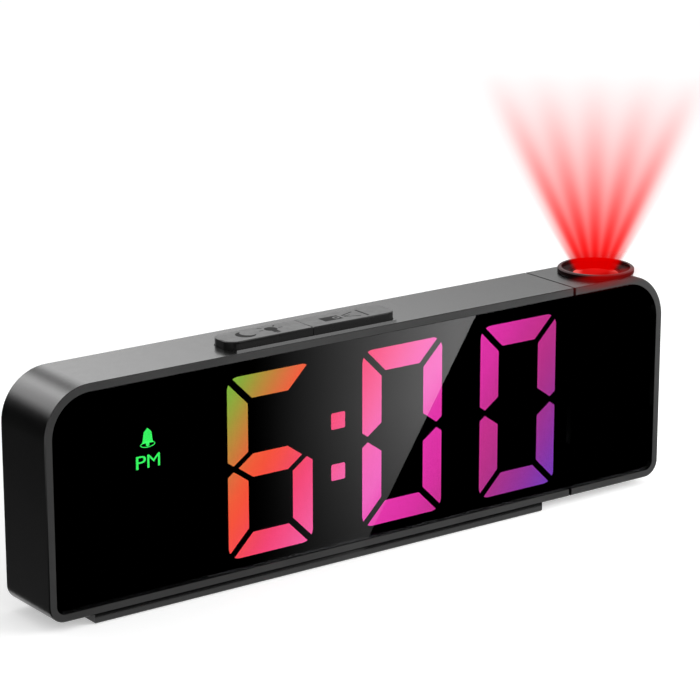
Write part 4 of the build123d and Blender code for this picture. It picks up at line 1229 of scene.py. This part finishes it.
@dataclass
class Studio:
    """A pale floor, soft light, reflection cards and the camera."""

    camera_place: Point = (-0.421893, -0.574681, 0.256878)
    yaw: float = 36.2228
    pitch: float = 15.9017
    focal_length: float = 144.57
    ambient: float = 0.42
    floor_side: float = 8.0
    floor_colour: Colour = grey(0.86)
    floor_lift: float = 0.42
    side_lamp: Corners = ((0.26, -0.26, 0.14), (0.02, 0.0, 0.03))
    lens_lamp: Point = (*LENS_AXIS, 65.0 * MM)
    front_card: Corners = ((-0.20, -0.9, 0.0012), (0.9, -0.0120, 0.0012))
    left_card: Corners = ((-0.9, -0.05, 0.0010), (-0.101, 0.49, 0.0010))
    left_run: Pair = (-0.20, -0.11)
    left_strength: Pair = (0.02, 0.10)
    sky_card: Corners = ((-1.3, 0.50, 0.0), (0.95, 0.50, 1.1))
    sky_centre: Pair = (-0.090, 0.0525)
    sky_full: float = 8.0
    sky_stops: tuple[Pair, ...] = (
        (0, 0.45), (17, 0.5), (19, 0.84), (20, 1.0), (21.2, 1.12), (22.1, 1.22), (23.5, 1.42), (24.8, 1.82),
        (25.7, 1.95), (37.7, 2.42), (49.7, 2.2), (58, 1.5), (66, 0.95), (73.7, 0.85), (80, 1.95), (85.7, 3.0),
        (97.7, 4.85), (109.7, 3.75), (121.7, 2.9), (133.7, 2.75), (144, 1.25), (152, 0.35), (158, 0.1),
        (166, 0.0))
    key_card: Corners = ((-0.0420, -0.00778, 0.06255), (0.0085, -0.00778, 0.0640))
    key_strength: float = 0.66
    mirror_plane: float = -10.5 * MM
    wedge_run: Pair = (-40 * MM, 26 * MM)
    wedge_power: float = 1.7
    wedge_foot: Pair = (-2.7 * MM, 4.8 * MM)
    wedge_slant: float = 35.8 / 55.6
    wedge_blur: float = 0.1 * MM
    wedge_low: float = 0.5
    wedge_rise: Pair = (8 * MM, 40 * MM)
    wedge_strength: float = 2.9

    def build(self) -> None:
        """Sets up the whole studio."""
        self.look()
        self.world()
        self.floor()
        self.lamps()
        self.cards()

    def look(self) -> None:
        """Adds the camera and the plain view transform."""
        data = bpy.data.cameras.new("camera")
        data.lens = self.focal_length
        data.clip_start = 0.02
        data.clip_end = 20
        camera = bpy.data.objects.new("camera", data)
        bpy.context.scene.collection.objects.link(camera)
        camera.location = self.camera_place
        yaw, pitch = math.radians(self.yaw), math.radians(self.pitch)
        ahead = Vector((math.sin(yaw) * math.cos(pitch), math.cos(yaw) * math.cos(pitch), -math.sin(pitch)))
        camera.rotation_euler = ahead.to_track_quat("-Z", "Y").to_euler()
        bpy.context.scene.camera = camera
        bpy.context.scene.view_settings.view_transform = "Standard"

    def world(self) -> None:
        """Makes a white surround that lights softly."""
        world = bpy.data.worlds.new("studio")
        bpy.context.scene.world = world
        world.use_nodes = True
        board = NodeBoard(world.node_tree)
        back = board.tree.nodes["Background"].inputs
        board.feed(back["Color"], (1.0, 1.0, 1.0))
        board.feed(back["Strength"], board.spread(board.seen(), self.ambient, 1.0, 0.0, 1.0))

    def floor(self) -> None:
        """Adds a pale floor that keeps the shadow."""
        floor = Bench.plane("floor", ORIGIN, (self.floor_side, self.floor_side))
        board = ShaderBoard("floor_white")
        matt = board.add("ShaderNodeBsdfDiffuse", {"Color": self.floor_colour}).outputs[0]
        glow = board.glow((1.0, 1.0, 1.0), board.times(board.seen(), self.floor_lift))
        board.show(floor, board.add("ShaderNodeAddShader", {0: matt, 1: glow}).outputs[0])

    def lamp(self, name: str, kind: str, energy: float, place: Point, towards: Point,
             **settings: object) -> Object:
        """Adds a lamp that mirrors don't see.

        Args:
            name: the lamp's name.
            kind: its type.
            energy: its power in watts, or a sun's strength.
            place: where it hangs.
            towards: the way its light goes.
            settings: its other settings.

        Returns:
            The lamp.
        """
        data = bpy.data.lights.new(name, kind)
        data.energy = energy
        for key, value in settings.items():
            setattr(data, key, value)
        lamp = bpy.data.objects.new(name, data)
        bpy.context.scene.collection.objects.link(lamp)
        lamp.location = place
        lamp.rotation_euler = Vector(towards).to_track_quat("-Z", "Y").to_euler()
        lamp.visible_glossy = False
        return lamp

    def lamps(self) -> None:
        """Adds the soft lamps, and a small red one for the red light that the lens throws back on the ring.
        """
        self.lamp("key_lamp", "SUN", energy=0.5, place=ORIGIN, towards=(-0.35, 0.75, -0.75),
                  angle=math.radians(60))
        place, aim = (Vector(spot) for spot in self.side_lamp)
        self.lamp("side_lamp", "AREA", energy=1.1, place=place, towards=aim - place, size=0.25)
        self.lamp("top_lamp", "SUN", energy=0.6, place=ORIGIN, towards=(0.1, -0.2, -1.0),
                  angle=math.radians(90))
        glow = self.lamp("lens_glow", "POINT", energy=0.010, place=self.lens_lamp, towards=(0.0, 0.0, -1.0),
                         color=(1.0, 0.01, 0.015), shadow_soft_size=3 * MM)
        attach(glow, Body.HEAD.value)

    def card(self, name: str, low: Point, high: Point, strength: Callable[[ShaderBoard], Value]) -> None:
        """Adds a card that only mirrors and clear pieces see, lying where its corners are level.

        Args:
            name: the card's name.
            low, high: its corners.
            strength: gives the number or socket of its brightness.
        """
        run = Vector(high) - Vector(low)
        size, turn = (run.x, run.y), FLAT
        if run.z:
            size, turn = (run.xy.length, run.z), (UPRIGHT[0], 0, math.atan2(run.y, run.x))
        obj = Bench.plane(name, (Vector(low) + Vector(high)) / 2, size, turn)
        board = ShaderBoard(name)
        board.show(obj, board.glow((1.0, 1.0, 1.0), strength(board)))
        obj.visible_camera = obj.visible_diffuse = obj.visible_shadow = False

    def sky(self, board: ShaderBoard) -> Socket:
        """The brightness behind the clock, by the angle round the clock's left top corner.

        Args:
            board: the card's material.

        Returns:
            The socket of the card's brightness.
        """
        x, _, z = board.axes()
        up = board.larger(board.minus(z, self.sky_centre[1]), 0.0)
        out = board.minus(x, self.sky_centre[0])
        turn = board.times(board.maths("ARCTAN2", up, out), 1 / math.pi)
        stops = ((angle / 180, (value / self.sky_full,) * 3) for angle, value in self.sky_stops)
        return board.times(board.ramp(turn, stops), self.sky_full)

    def left_floor(self, board: ShaderBoard) -> Socket:
        """A faint brightness that fades away from the clock's left end."""
        return board.spread(board.axes()[0], *self.left_strength, *self.left_run)

    def mirrored(self, board: ShaderBoard) -> tuple[Socket, Socket]:
        """Where a spot on the card shows in the window, seen from the camera's place.

        Args:
            board: the card's material.

        Returns:
            The sockets of its X and Z in the window, in metres.
        """
        cx, cy, cz = self.camera_place
        back = 2 * self.mirror_plane - cy
        x, y, z = board.axes()
        share = board.over(self.mirror_plane - back, board.minus(y, back))
        across = board.times_plus(board.minus(x, cx), share, cx)
        return across, board.times_plus(board.minus(z, cz), share, cz)

    def wedge(self, board: ShaderBoard) -> Socket:
        """A brightness that grows to the right and stops at a slanting edge.

        Args:
            board: the card's material.

        Returns:
            The socket of the card's brightness.
        """
        across, up = self.mirrored(board)
        curve = board.power(board.spread(across, 0, 1, *self.wedge_run), self.wedge_power)
        limit = self.wedge_foot[0] - self.wedge_foot[1] * self.wedge_slant
        past = board.minus(board.times_plus(up, -self.wedge_slant, across), limit)
        inside = board.spread(past, 1, 0, -self.wedge_blur, self.wedge_blur)
        height = board.spread(up, self.wedge_low, 1.0, *self.wedge_rise)
        return board.times(board.times(curve, inside), board.times(height, self.wedge_strength))

    def cards(self) -> None:
        """Adds the cards that the front, the left end and the keys mirror."""
        self.card("front_card", *self.front_card, self.wedge)
        self.card("left_card", *self.left_card, self.left_floor)
        self.card("sky_card", *self.sky_card, self.sky)
        self.card("key_card", *self.key_card, lambda board: self.key_strength)


def main() -> None:
    """Builds the scene in order."""
    logging.basicConfig(level=logging.INFO, format="%(name)s: %(message)s")
    SolidParts().dress_all()
    Windows().build()
    Display().build()
    ProjectorBeam().build()
    Studio().build()
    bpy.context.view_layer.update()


if __name__ == "__main__":
    main()
